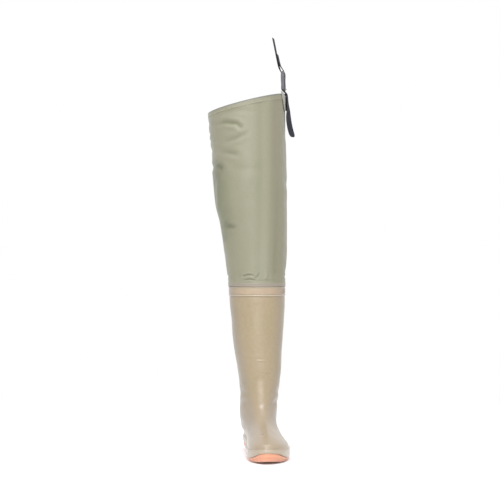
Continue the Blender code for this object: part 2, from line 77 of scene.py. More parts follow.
# height, centre, half width, half depth, middle of the depth
legLevels = np.array([
    (377, -3.9, 63.85, 69.75, -22.6), (392, -4.2, 63.95, 70.0, -22.95), (414, -5.8, 66.0, 71.6, -22.5),
    (451, -7.1, 69.4, 75.0, -21.5), (488, -9.9, 72.5, 79.5, -20.5), (525, -12.8, 75.5, 84.0, -19.5),
    (562, -17.3, 80.0, 89.0, -18.5), (599, -19.2, 81.8, 93.0, -17.5), (635, -21.0, 83.2, 96.0, -16.5),
    (691, -22.4, 83.2, 98.5, -15.5), (731, -24.8, 85.1, 100.0, -14.5), (775, -26.2, 86.5, 101.0, -13.5),
    (816, -27.0, 87.0, 102.0, -12.5)])


def smooth(table, x, column):  # a monotone cubic through one column
    xs, ys = table[:, 0], table[:, column]
    slopes = np.diff(ys) / np.diff(xs)
    before, after = slopes[:-1], slopes[1:]
    both = before + after
    inner = np.where(before * after > 0, 2 * before * after / np.where(both == 0, 1, both), 0.0)
    tangents = np.concatenate([slopes[:1], inner, slopes[-1:]])
    x = np.clip(np.asarray(x, float), xs[0], xs[-1])
    k = np.clip(np.searchsorted(xs, x, side="right") - 1, 0, len(xs) - 2)
    width = xs[k + 1] - xs[k]
    t = (x - xs[k]) / width
    value = ys[k] * (2 * t**3 - 3 * t**2 + 1) + ys[k + 1] * (3 * t**2 - 2 * t**3)
    return value + width * (tangents[k] * (t**3 - 2 * t**2 + t) + tangents[k + 1] * (t**3 - t**2))


def ease(low, high, x):
    t = np.clip((np.asarray(x, float) - low) / (high - low), 0, 1)
    return t * t * (3 - 2 * t)


def bump(x, middle, width):  # a soft hill, 1 at its middle
    return np.exp(-((np.asarray(x, float) - middle) / width) ** 2)


def rounded(share, power):
    return (1 - (1 - np.clip(share, 0, 1)) ** power) ** (1 / power)


def turned(x, y, angle):
    return x * np.cos(angle) - y * np.sin(angle), x * np.sin(angle) + y * np.cos(angle)


def toeLift(y):
    run = np.maximum(0, foot["springStart"] - y) / (foot["springStart"] - foot["toeY"])
    return foot["toeSpring"] * run**2


def centreLine(y):
    return foot["tipShift"] * ease(0, 1, (-110 - y) / 125)


def soleEdge(y, side):
    along = (y - foot["toeY"]) / foot["length"]
    share = np.where(side > 0, smooth(outline, along, 1), smooth(outline, along, 2))
    nose = rounded((y - foot["toeY"]) / foot["noseLength"], foot["nosePower"])
    tail = rounded((foot["heelBack"] - y) / foot["tailLength"], foot["tailPower"])
    return (share * foot["ballWidth"] - side * centreLine(y)) * nose * tail


ridgeZ = np.linspace(foot["randTop"], foot["shaftFrom"], 2000)
ridgeY = smooth(levels, ridgeZ, 1)


def ridgeHeight(y):
    behind = y - foot["shaftFront"]
    return np.where(behind >= 0, foot["shaftFrom"] + 4 * behind, np.interp(y, ridgeY, ridgeZ))


def bootMiddle(y, z):
    share = ease(60, 120, z)
    return centreLine(y) * (1 - share) + smooth(levels, z, 4) * share


def bootHalf(y, z, side):  # from the ring's middle to the boot's wall above the rand
    front, back = smooth(levels, z, 1), smooth(levels, z, 2)
    heel = ease(-95, -60, y)
    moved = y - (back - foot["vampBack"]) * heel
    domeShare = np.minimum(1, (z - foot["randTop"]) / np.maximum(ridgeHeight(y) - foot["randTop"], 0.01))
    flank = (side > 0) * (1 - easeDown(y))
    bulge = 1.45 + 0.45 * easeToe(y) + 0.6 * flank
    dome = (1 - domeShare**bulge) ** 0.54 * (1 - 0.83 * flank * domeShare**1.6)
    share = (moved - foot["vampFront"]) / (foot["vampBack"] - foot["vampFront"])
    inset = foot["randStep"] * rounded(share * 14, 2) * rounded((1 - share) * 14, 2)
    low = soleEdge(foot["toeY"] + foot["length"] * np.clip(share, 0, 1), side) - inset
    low = low + side * (centreLine(y) - bootMiddle(y, z))
    low = np.maximum(0, low) * dome * (1 - heel * ease(45, 110, z))
    front = np.where(z < foot["shaftFrom"], np.maximum(front, foot["shaftFront"]), front)
    middle, reach = (front + back) / 2, (back - front) / 2
    across = np.minimum(1, np.abs(y - middle) / reach)
    shaft = (1 - across ** foot["shaftPower"]) ** (1 / foot["shaftPower"])
    shaft = shaft * (smooth(levels, z, 3) + side * (smooth(levels, z, 4) - bootMiddle(y, z))) * ease(24, 50, z)
    return (low**4 + np.maximum(0, shaft) ** 4) ** 0.25


def easeDown(y):  # 0 behind the instep, 1 at the toes
    return ease(0, 1, (-150 - y) / 75)


def easeToe(y):
    return ease(0, 1, (-150 - y) / 65)


def ringColumns(count):  # down the outer side from the toe, then back up the inner side
    down = (1 - np.cos(np.pi * np.arange(count + 1) / count)) / 2
    return np.concatenate([down, down[-2:0:-1]]), np.concatenate([np.ones(count + 1), -np.ones(count - 1)])


def edgeRing(part, share, side, out, low=1, high=2, drop=0.0):  # low and high are columns of edge
    y = foot["toeY"] + foot["length"] * share
    bottom, top = smooth(edge, y, low), smooth(edge, y, high) - drop
    half = soleEdge(y, side)
    scale = 1 + out / np.maximum(half, 30.0)
    middle = (foot["toeY"] + foot["heelBack"]) / 2
    moved = middle + (y - middle) * (1 + 2 * out / foot["length"])
    height = bottom + (top - bottom) * part + toeLift(y)
    return np.stack([centreLine(y) + side * half * scale, moved, height], -1)


def bootRing(z, share, side):
    front, back = smooth(levels, z, 1), smooth(levels, z, 2)
    y = front + (back - front) * share
    rise = (smooth(edge, y, 2) - foot["randTop"]) * (1 - ease(foot["randTop"], 95, z))
    half = np.where((share < 1e-9) | (share > 1 - 1e-9), 0, bootHalf(y, np.full_like(y, z), side))
    x, turnedY = turned(bootMiddle(y, z) + side * half, y, hipTurn * ease(150, foot["bootTop"], z))
    return np.stack([x, turnedY, z + rise + toeLift(y)], -1)


def legPoint(z, share, side, out):
    along = 2 * share - 1
    half, reach = smooth(legLevels, z, 2) + out, smooth(legLevels, z, 3) + out
    power = legForm["power"]
    x = smooth(legLevels, z, 1) + side * half * (1 - np.abs(along) ** power) ** (1 / power)
    slant = np.maximum(0, z - legForm["slantFrom"]) / (legForm["top"] - legForm["slantFrom"])
    fall = legForm["collarFall"] * (legForm["highX"] - x) * slant ** legForm["slantPower"]
    return x, smooth(legLevels, z, 4) + reach * along, z - fall


def legRing(z, share, side, out):
    x, y, height = legPoint(z, share, side, out)
    return np.stack([*turned(x, y, hipTurn), height], -1)


# mesh tools

def gridNormals(grid):  # outward normals of a closed row by row grid
    around = np.roll(grid, -1, 1) - np.roll(grid, 1, 1)
    up = np.empty_like(grid)
    up[1:-1] = grid[2:] - grid[:-2]
    up[0], up[-1] = grid[1] - grid[0], grid[-1] - grid[-2]
    normal = np.cross(around, up)
    normal /= np.maximum(np.linalg.norm(normal, axis=-1, keepdims=True), 1e-9)
    middle = grid.mean(1, keepdims=True)
    facing = ((grid - middle)[..., :2] * normal[..., :2]).sum(-1).mean()
    return normal if facing > 0 else -normal


def gridFaces(rows, columns, start=0, flip=False):
    j, k = np.meshgrid(np.arange(rows - 1), np.arange(columns), indexing="ij")
    after = (k + 1) % columns
    here, above = j * columns, (j + 1) * columns
    quads = np.stack([here + k, here + after, above + after, above + k], -1)
    quads = quads.reshape(-1, 4) + start
    return quads[:, ::-1] if flip else quads


def addObject(name, data):
    made = bpy.data.objects.new(name, data)
    bpy.context.scene.collection.objects.link(made)
    return made


def makeMesh(name, points, faces, materials, slots=None, tags=None):
    mesh = bpy.data.meshes.new(name)
    mesh.from_pydata((np.asarray(points) * millimetre).tolist(), [], [list(map(int, f)) for f in faces])
    for material in materials:
        mesh.materials.append(material)
    if slots is not None:
        mesh.polygons.foreach_set("material_index", np.asarray(slots, np.int32))
    for tag, values in (tags or {}).items():
        values = np.asarray(values, np.float32)
        kind = "FLOAT" if values.ndim == 1 else "FLOAT_VECTOR"
        layer = mesh.attributes.new(tag, kind, "POINT")
        layer.data.foreach_set("value" if values.ndim == 1 else "vector", values.ravel())
    mesh.update()
    work = bmesh.new()
    work.from_mesh(mesh)
    bmesh.ops.recalc_face_normals(work, faces=work.faces)
    work.to_mesh(mesh)
    work.free()
    mesh.shade_smooth()
    return addObject(name, mesh)


def tubeMesh(name, outer, inner, materials, tags):  # a hollow wall with both rims closed
    rows, columns = outer.shape[:2]
    low, lowColumns = inner.shape[:2]
    faces = [gridFaces(rows, columns), gridFaces(low, lowColumns, rows * columns, True)]
    slots = [np.zeros(len(faces[0])), np.ones(len(faces[1]))]
    start = rows * columns
    k = np.arange(columns)
    after = (k + 1) % columns
    rims = [np.stack([start + k, start + after, after, k], -1)]
    top, innerTop = (rows - 1) * columns, start + (low - 1) * columns
    rims.append(np.stack([top + k, top + after, innerTop + after, innerTop + k], -1))
    faces += rims
    slots += [np.zeros(columns), np.zeros(columns)]
    points = np.concatenate([outer.reshape(-1, 3), inner.reshape(-1, 3)])
    return makeMesh(name, points, np.concatenate(faces), materials, np.concatenate(slots), tags)


def outerTags(inner, **values):  # tags that are 0 on the inner wall
    blank = np.zeros(inner.shape[0] * inner.shape[1])
    return {name: np.concatenate([array.ravel(), blank]) for name, array in values.items()}


def capFaces(start, columns):  # closes a ring with strips across it
    half = columns // 2
    faces = []
    for k in range(half):
        corners = [start + k, start + k + 1]
        if k + 1 < half:
            corners.append(start + columns - k - 1)
        if k:
            corners.append(start + columns - k)
        faces.append(corners)
    return faces


def hipAxes(points):  # across the front as it is seen, and the depth behind it
    return turned(points[..., 0], points[..., 1], -hipTurn)


faceSides = {"front": (1, -1), "back": (1, 1), "outer": (0, 1), "inner": (0, -1)}
strokeUsual = (0.35, True)


# Soft troughs (height below 0) and ridges (above 0) along short paths on one side of a tube. A row gives side,
# path, half width and height, and where they aren't the usual ones, the lip's share and whether the ends fade.
def strokes(points, normals, rows):
    across, behind = hipAxes(points)
    acrossNormal, behindNormal = hipAxes(normals)
    total = np.zeros(points.shape[:-1])
    for side, path, width, height, *more in rows:
        lip, fades = (*more, *strokeUsual[len(more):])
        axis, sign = faceSides[side]
        facing = sign * (behindNormal if axis else acrossNormal)
        flat = across if axis else behind
        here = np.stack([flat, points[..., 2]], -1)
        path = np.array(path, float)
        nearest = np.full(here.shape[:-1], 1e9)
        share = np.zeros(here.shape[:-1])
        lengths = np.concatenate([[0], np.cumsum(np.linalg.norm(np.diff(path, axis=0), axis=1))])
        for k, (a, b) in enumerate(zip(path, path[1:])):
            run = b - a
            t = np.clip(((here - a) @ run) / (run @ run), 0, 1)
            gap = np.linalg.norm(here - a - t[..., None] * run, axis=-1)
            closer = gap < nearest
            nearest = np.where(closer, gap, nearest)
            share = np.where(closer, (lengths[k] + t * (lengths[k + 1] - lengths[k])) / lengths[-1], share)
        taper = np.clip(4 * share * (1 - share), 0, 1) ** 0.5 if fades else 1.0
        profile = np.exp(-((nearest / width) ** 2)) - lip * np.exp(-(((nearest - 2.1 * width) / width) ** 2))
        total += height * profile * (0.25 + 0.75 * taper) * ease(0.12, 0.88, np.clip(facing, 0, 1) ** 2)
    return total


def waves(points, seed, size, turns=5):  # slow unevenness, the same each run
    draw = np.random.default_rng(seed)
    total = np.zeros(points.shape[:-1])
    for _ in range(turns):
        way = draw.normal(size=3)
        way /= np.linalg.norm(way)
        total += np.sin(points @ way * (2 * np.pi / (size * draw.uniform(0.7, 1.5))) + draw.uniform(0, 6.28))
    return total / turns


# materials

def newMaterial(name, **sockets):
    material = bpy.data.materials.new(name)
    material.use_nodes = True
    shader = material.node_tree.nodes["Principled BSDF"]
    for socket, value in sockets.items():
        shader.inputs[socket.replace("_", " ")].default_value = value
    return material, material.node_tree, shader


def addNode(tree, kind, **values):
    node = tree.nodes.new(kind)
    for key, value in values.items():
        if key in node.inputs:
            node.inputs[key].default_value = value
        else:
            setattr(node, key, value)
    return node


def place(tree):  # the piece's own axes, in metres
    return addNode(tree, "ShaderNodeTexCoord").outputs["Object"]


def noise(tree, scale, detail):
    node = addNode(tree, "ShaderNodeTexNoise", Scale=scale, Detail=detail, Roughness=0.5)
    tree.links.new(place(tree), node.inputs["Vector"])
    return node.outputs["Fac"]


def tag(tree, name):
    return addNode(tree, "ShaderNodeAttribute", attribute_name=name)


def ramp(tree, value, stops):
    node = addNode(tree, "ShaderNodeValToRGB")
    tree.links.new(value, node.inputs["Fac"])
    while len(node.color_ramp.elements) < len(stops):
        node.color_ramp.elements.new(0.5)
    for element, (where, colour) in zip(node.color_ramp.elements, stops):
        element.position = where
        element.color = (*colour, 1.0)
    return node.outputs["Color"]


def mixColour(tree, share, first, second):
    node = tree.nodes.new("ShaderNodeMix")
    node.data_type = "RGBA"
    for value, socket in ((share, node.inputs[0]), (first, node.inputs[6]), (second, node.inputs[7])):
        if isinstance(value, bpy.types.NodeSocket):
            tree.links.new(value, socket)
        elif socket == node.inputs[0]:
            socket.default_value = value
        else:
            socket.default_value = (*value, 1.0)
    return node.outputs[2]


def mottled(tree, scale, detail, *stops):
    return ramp(tree, noise(tree, scale, detail), stops)


def sums(tree, operation, first, second):
    node = addNode(tree, "ShaderNodeMath", operation=operation)
    for value, socket in zip((first, second), node.inputs):
        if isinstance(value, bpy.types.NodeSocket):
            tree.links.new(value, socket)
        else:
            socket.default_value = value
    return node.outputs[0]


def tinted(tree, base, name, strength, colour):  # a colour laid on where the tag says
    return mixColour(tree, sums(tree, "MULTIPLY", tag(tree, name).outputs["Fac"], strength), base, colour)


def addBump(tree, shader, height, strength, distance):
    node = addNode(tree, "ShaderNodeBump", Strength=strength, Distance=distance)
    tree.links.new(height, node.inputs["Height"])
    tree.links.new(node.outputs["Normal"], shader.inputs["Normal"])


# boot

boot = {
    "columns": 112, "rowStep": 2.0, "wall": 2.3, "innerStep": 4,
    "softenings": 320, "softFrom": (36, 60), "softTo": (150, 190), "softWidth": 0.42, "softLeast": 0.2,
    "randParts": (0.0, 0.04, 0.12, 0.25, 0.4, 0.55, 0.7, 0.82, 0.9, 0.95), "randOut": 0.9, "randReach": 1.02,
    "cuffFrom": 336, "cuffRows": (336.5, 378.2, 0.55), "topRows": [379, 382, 386, 392],
    "beads": [(358.1, 1.6, 1.7), (375.3, 1.2, 1.4)],  # height, half width, height above the wall
    "band": (360.6, 373.4, 0.7), "knurls": 110, "knurlDepth": 0.42,
    "ripples": [(351.5, 1.5, 0.35), (347.0, 1.5, 0.25), (342.5, 1.6, 0.2), (354.6, 0.9, -0.5)],
    # painted shade in the grooves beside the beads and at the boot's top edge
    "grimeLines": [(354.7, 0.8, 0.35), (360.2, 0.6, 0.6), (377.6, 0.8, 0.3)],  # height, half width, strength
    # painted highlight along the tops of the beads
    "paleLines": [(358.0, 1.1, 1.0), (375.3, 1.0, 1.0)],
    "partingLine": (-2.0, 0.8, 0.3),  # across, half width and height, down the back of the shaft
    # seed, size and depth of the soft unevenness, then where it comes and where it goes
    "uneven": [(7, 95, 0.55, (60, 120), (330, 350)), (9, 26, 0.12, (35, 60), (335, 352))],
    "creases": [
        # the raised mould line on the shin
        ("front", [(-8, 211.5), (22, 211.5)], 1.3, 0.7, 0.25),
        # flexing at the ankle
        ("front", [(-38, 121), (-12, 112), (14, 113), (34, 124)], 8.0, -0.7),
        ("front", [(-36, 98), (-8, 88), (20, 90)], 9.0, -0.3),
        ("front", [(-30, 146), (-6, 140), (22, 144)], 9.0, -0.4),
        ("inner", [(-96, 104), (-62, 118), (-20, 112)], 6.5, -1.3),
        ("inner", [(-84, 132), (-48, 140), (-6, 128)], 7.5, -0.9),
        ("outer", [(-94, 106), (-58, 119), (-18, 113)], 6.5, -1.3),
        ("outer", [(-80, 134), (-44, 141), (-4, 130)], 7.5, -0.9),
        ("back", [(-30, 96), (0, 88), (28, 97)], 7.0, -1.0),
        ("back", [(-32, 124), (0, 116), (30, 126)], 7.5, -0.8),
    ],
}


def buildBoot():
    share, side = ringColumns(boot["columns"])
    rings = [edgeRing(t, share, side, boot["randOut"] * math.sin(math.pi * (t * boot["randReach"])) ** 0.6)
             for t in boot["randParts"]]
    edgeRows = len(rings)
    z = np.linspace(levels[0, 0], levels[-1, 0], 3000)  # rows about evenly apart along the ridge of the foot
    length = np.concatenate([[0], np.cumsum(np.hypot(np.diff(z), np.diff(smooth(levels, z, 1))))])
    count = int(length[-1] / boot["rowStep"])
    heights = np.interp(np.linspace(0, length[-1], count), length, z)
    heights = heights[heights < boot["cuffFrom"]]
    heights = np.concatenate([heights, np.arange(*boot["cuffRows"]), boot["topRows"]])
    rings += [bootRing(h, share, side) for h in heights]
    base = np.array(rings)
    level = np.concatenate([np.full(edgeRows, 20.0), heights])[:, None] + np.zeros(base.shape[1])
    # the ridge of the vamp is rounded off into the ankle
    near = np.exp(-((share / boot["softWidth"]) ** 2))[None, :] + boot["softLeast"]
    weight = ease(*boot["softFrom"], level) * (1 - ease(*boot["softTo"], level)) * near
    weight = weight[..., None].clip(0, 0.9)
    for _ in range(boot["softenings"]):
        soft = base.copy()
        beside = np.roll(base, 1, 1) + np.roll(base, -1, 1)
        soft[1:-1] = (base[:-2] + base[2:] + beside[1:-1]) / 4
        base = base * (1 - weight) + soft * weight
    normals = gridNormals(base)
    out = strokes(base, normals, boot["creases"])
    for middle, width, height in boot["beads"]:
        out += height * np.sqrt(np.clip(1 - ((level - middle) / (width * 1.25)) ** 2, 0, 1))
    bottom, top, height = boot["band"]
    inBand = ease(bottom - 0.5, bottom + 0.4, level) * (1 - ease(top - 0.4, top + 0.5, level))
    angle = np.arctan2(base[..., 1] + 22, base[..., 0] + 4)
    ribs = np.sin(angle * boot["knurls"])
    knurl = boot["knurlDepth"] * ribs * ease(bottom, bottom + 2, level) * (1 - ease(top - 2, top, level))
    out += inBand * (height + knurl)
    for middle, width, height in boot["ripples"]:
        out += height * bump(level, middle, width)
    # painted shade in the grooves
    grime = sum(strength * bump(level, middle, width) for middle, width, strength in boot["grimeLines"])
    # painted highlight along the beads
    bead = sum(strength * bump(level, middle, width) for middle, width, strength in boot["paleLines"])
    across, _ = hipAxes(base)
    acrossNormal, behindNormal = hipAxes(normals)
    middle, width, height = boot["partingLine"]
    shaft = ease(60, 80, level) * (1 - ease(330, 345, level))
    out += height * bump(across, middle, width) * (behindNormal > 0.8) * shaft
    for seed, size, depth, comes, goes in boot["uneven"]:
        out += depth * waves(base, seed, size) * ease(*comes, level) * (1 - ease(*goes, level))
    outer = base + normals * out[..., None]
    # the inner wall takes only some of the rows
    keep = [0] + list(range(edgeRows, len(base) - 1, boot["innerStep"])) + [len(base) - 1]
    inner = (base - normals * boot["wall"])[keep]
    # painted shade on the boot's flanks
    tags = outerTags(inner, flank=ease(0.55, 1.0, np.abs(acrossNormal)) * ease(40, 60, level),
                     # painted highlight on the raised knurls of the band
                     cuffBand=inBand * (0.5 + 0.5 * ribs), bead=bead, grime=grime, cuff=inBand,
                     # painted highlight on the rand
                     rand=(np.arange(len(base)) < edgeRows)[:, None] + np.zeros(base.shape[1]))
    tags["level"] = np.concatenate([level.ravel(), level[keep].ravel()]) * millimetre
    return tubeMesh("bootShell", outer, inner, [bootPvc(), liningKnit()], tags)


def bootPvc():
    material, tree, shader = newMaterial(
        "bootPvc", Roughness=0.36, IOR=1.42, Coat_Weight=0.4, Coat_Roughness=0.12,
        Subsurface_Weight=0.08, Subsurface_Scale=0.004, Subsurface_Radius=(1.0, 0.7, 0.4))
    cloudy = mottled(tree, 9, 2, (0.3, (0.254, 0.202, 0.118)), (0.5, (0.267, 0.210, 0.126)),
                     (0.7, (0.277, 0.214, 0.141)))
    specks = mottled(tree, 140, 4, (0.35, (0.208, 0.160, 0.088)), (0.7, (0.344, 0.288, 0.200)))
    fine = mixColour(tree, 0.12, cloudy, specks)
    blush = mottled(tree, 48, 3, (0.35, (0.305, 0.218, 0.150)), (0.65, (0.315, 0.250, 0.158)))
    colour = mixColour(tree, tag(tree, "cuff").outputs["Fac"], fine, blush)
    # painted highlight along the beads
    colour = tinted(tree, colour, "bead", 0.75, (0.420, 0.362, 0.280))
    # painted highlight on the knurl tops
    colour = tinted(tree, colour, "cuffBand", 0.35, (0.368, 0.288, 0.208))
    # the foot is a little pinker, the rand gets a painted highlight, the flanks get painted shade, and painted
    # shade lies in the grooves beside the beads
    height = tag(tree, "level").outputs["Fac"]
    lowPart = ramp(tree, height, [(0.06, (1, 1, 1)), (0.17, (0, 0, 0))])
    colour = mixColour(tree, sums(tree, "MULTIPLY", lowPart, 0.55), colour, (0.298, 0.234, 0.171))
    colour = tinted(tree, colour, "rand", 0.7, (0.344, 0.284, 0.210))
    colour = tinted(tree, colour, "flank", 0.45, (0.190, 0.165, 0.140))
    colour = tinted(tree, colour, "grime", 0.6, (0.120, 0.084, 0.048))
    nearFloor = ramp(tree, height, [(0.018, (1, 1, 1)), (0.055, (0, 0, 0))])
    dust = sums(tree, "MULTIPLY", nearFloor, noise(tree, 60, 5))
    colour = mixColour(tree, sums(tree, "MULTIPLY", dust, 0.35), colour, (0.264, 0.232, 0.176))
    tree.links.new(colour, shader.inputs["Base Color"])
    tree.links.new(mottled(tree, 28, 4, (0.3, (0.27,) * 3), (0.7, (0.40,) * 3)), shader.inputs["Roughness"])
    grain = sums(tree, "ADD", sums(tree, "MULTIPLY", noise(tree, 900, 3), 0.5), noise(tree, 170, 4))
    addBump(tree, shader, grain, 0.10, 0.0006)
    return material


def liningKnit():
    material, tree, shader = newMaterial("liningKnit", Roughness=0.95, Sheen_Weight=0.3, Sheen_Roughness=0.5)
    spot = addNode(tree, "ShaderNodeTexVoronoi", Scale=620.0)
    tree.links.new(place(tree), spot.inputs["Vector"])
    loops = ramp(tree, spot.outputs["Distance"], [(0.0, (0.336, 0.328, 0.272)), (0.6, (0.208, 0.208, 0.168))])
    tree.links.new(loops, shader.inputs["Base Color"])
    addBump(tree, shader, spot.outputs["Distance"], 0.5, 0.0008)
    return material


bootShell = buildBoot()
print("boot made")

# sole and footbed

sole = {
    "columns": 130, "gap": 0.3, "strips": 26, "ribs": 5, "ribDepth": 0.35, "edgeRound": 0.7,
    # share of the side's height, and how far the side stands out there
    "profile": [(0.0, -6.5), (0.18, -4.4), (0.46, -3.2), (0.56, -1.7), (0.9, -1.2), (1.0, -1.5)],
    # place along the foot and slant in degrees
    "grooves": [(-216, 0), (-200, 6), (-184, 6), (-168, 6), (-152, 6), (-136, 6), (-22, 0), (19, 0)],
    "sipes": [(-208, 3), (-192, 6), (-176, 6), (-160, 6), (-144, 6), (-35, 0), (-10, 0), (5, 0), (28, 0)],
    "grooveSize": (4.5, 3.0), "sipeSize": (1.6, 1.0),  # width, depth
}


def buildSole():
    share, side = ringColumns(sole["columns"])
    steps = np.array(sole["profile"])
    parts = np.concatenate([[0.0, 0.03], np.linspace(0.08, 0.5, 10), [0.53, 0.56, 0.6],
                            np.linspace(0.65, 0.95, 8), [0.98, 1.0]])
    rings = []
    for part in parts:
        out = np.interp(part, steps[:, 0], steps[:, 1])
        out -= sole["edgeRound"] * (1 - min(1, part / 0.05)) ** 2
        out += sole["ribDepth"] * math.cos(part * 2 * math.pi * sole["ribs"]) * (0.08 < part < 0.5)
        rings.append(edgeRing(part, share, side, out, 3, 1, sole["gap"]))
    outer = np.array(rings)
    rows, columns = outer.shape[:2]
    # the tread is a grid across the underside with its grooves sunk
    half, strips = sole["columns"], sole["strips"]
    start = rows * columns
    under = []
    ring = outer[0]
    for k in range(1, half):
        a, b = ring[k], ring[columns - k]
        t = np.linspace(0, 1, strips + 1)[1:-1, None]
        under.append(a * (1 - t) + b * t)
    under = np.array(under)
    x, y = under[..., 0], under[..., 1]
    sunk = np.zeros_like(x)
    bottom = smooth(edge, y, 3)
    for rowsOf, (width, depth) in ((sole["grooves"], sole["grooveSize"]), (sole["sipes"], sole["sipeSize"])):
        for middle, angle in rowsOf:
            off = (y - middle) * math.cos(math.radians(angle)) - x * math.sin(math.radians(angle))
            sunk = np.maximum(sunk, depth * (1 - ease(width * 0.32, width * 0.62, np.abs(off))))
    sunk *= bottom < 1
    under[..., 2] += sunk
    under = under.reshape(-1, 3)
    wide = strips - 1
    index = start + np.arange((half - 1) * wide).reshape(half - 1, wide)
    ends = np.arange(1, half)[:, None]
    full = np.concatenate([ends, index, columns - ends], 1)
    quads = np.stack([full[:-1, :-1], full[:-1, 1:], full[1:, 1:], full[1:, :-1]], -1).reshape(-1, 4)
    faces = [list(f) for f in np.concatenate([gridFaces(rows, columns), quads])]
    for end, row in ((0, full[0]), (half, full[-1])):
        for a, b in zip(row, row[1:]):
            faces.append([end, a, b])
    faces += capFaces((rows - 1) * columns, columns)  # the top face inside the boot
    tags = {"part": np.concatenate([np.repeat(parts, columns), np.zeros(len(under))])}
    points = np.concatenate([outer.reshape(-1, 3), under])
    return makeMesh("outsoleMesh", points, faces, [soleRubber()], None, tags)


def soleRubber():
    material, tree, shader = newMaterial(
        "soleOrange", Roughness=0.42, IOR=1.5, Coat_Weight=0.15, Coat_Roughness=0.3,
        Subsurface_Weight=0.12, Subsurface_Scale=0.004, Subsurface_Radius=(1.0, 0.4, 0.2))
    warm = mottled(tree, 26, 3, (0.3, (0.528, 0.216, 0.116)), (0.7, (0.576, 0.252, 0.140)))
    worn = mixColour(tree, sums(tree, "MULTIPLY", noise(tree, 120, 5), 0.25), warm, (0.512, 0.328, 0.240))
    # the lowest few millimetres are dusty
    low = ramp(tree, tag(tree, "part").outputs["Fac"], [(0.0, (1, 1, 1)), (0.34, (0, 0, 0))])
    dusty = mixColour(tree, sums(tree, "MULTIPLY", low, 0.5), worn, (0.480, 0.280, 0.224))
    tree.links.new(dusty, shader.inputs["Base Color"])
    tree.links.new(mottled(tree, 90, 4, (0.3, (0.34,) * 3), (0.7, (0.52,) * 3)), shader.inputs["Roughness"])
    addBump(tree, shader, noise(tree, 700, 4), 0.12, 0.0006)
    return material


# height above the sole's edge, and how far each ring lies in from it
footbed = {"columns": 60, "rings": [(0.0, -3.6), (0.6, -3.4), (1.6, -3.4), (2.5, -3.8), (3.0, -4.8)]}


def buildFootbed():
    share, side = ringColumns(footbed["columns"])
    rings = []
    for height, out in footbed["rings"]:
        ring = edgeRing(0.0, share, side, out)
        ring[:, 2] += height
        rings.append(ring)
    outer = np.array(rings)
    rows, columns = outer.shape[:2]
    faces = [list(f) for f in gridFaces(rows, columns)]
    faces += capFaces(0, columns) + capFaces((rows - 1) * columns, columns)
    material, tree, shader = newMaterial("footbedFelt", Roughness=0.95, Sheen_Weight=0.25)
    felt = mottled(tree, 420, 5, (0.3, (0.112, 0.112, 0.104)), (0.7, (0.216, 0.216, 0.200)))
    tree.links.new(felt, shader.inputs["Base Color"])
    addBump(tree, shader, noise(tree, 700, 5), 0.5, 0.001)
    return makeMesh("footbedPad", outer.reshape(-1, 3), faces, [material])


outsoleMesh = buildSole()
footbedPad = buildFootbed()
print("sole and footbed made")

# fabric leg

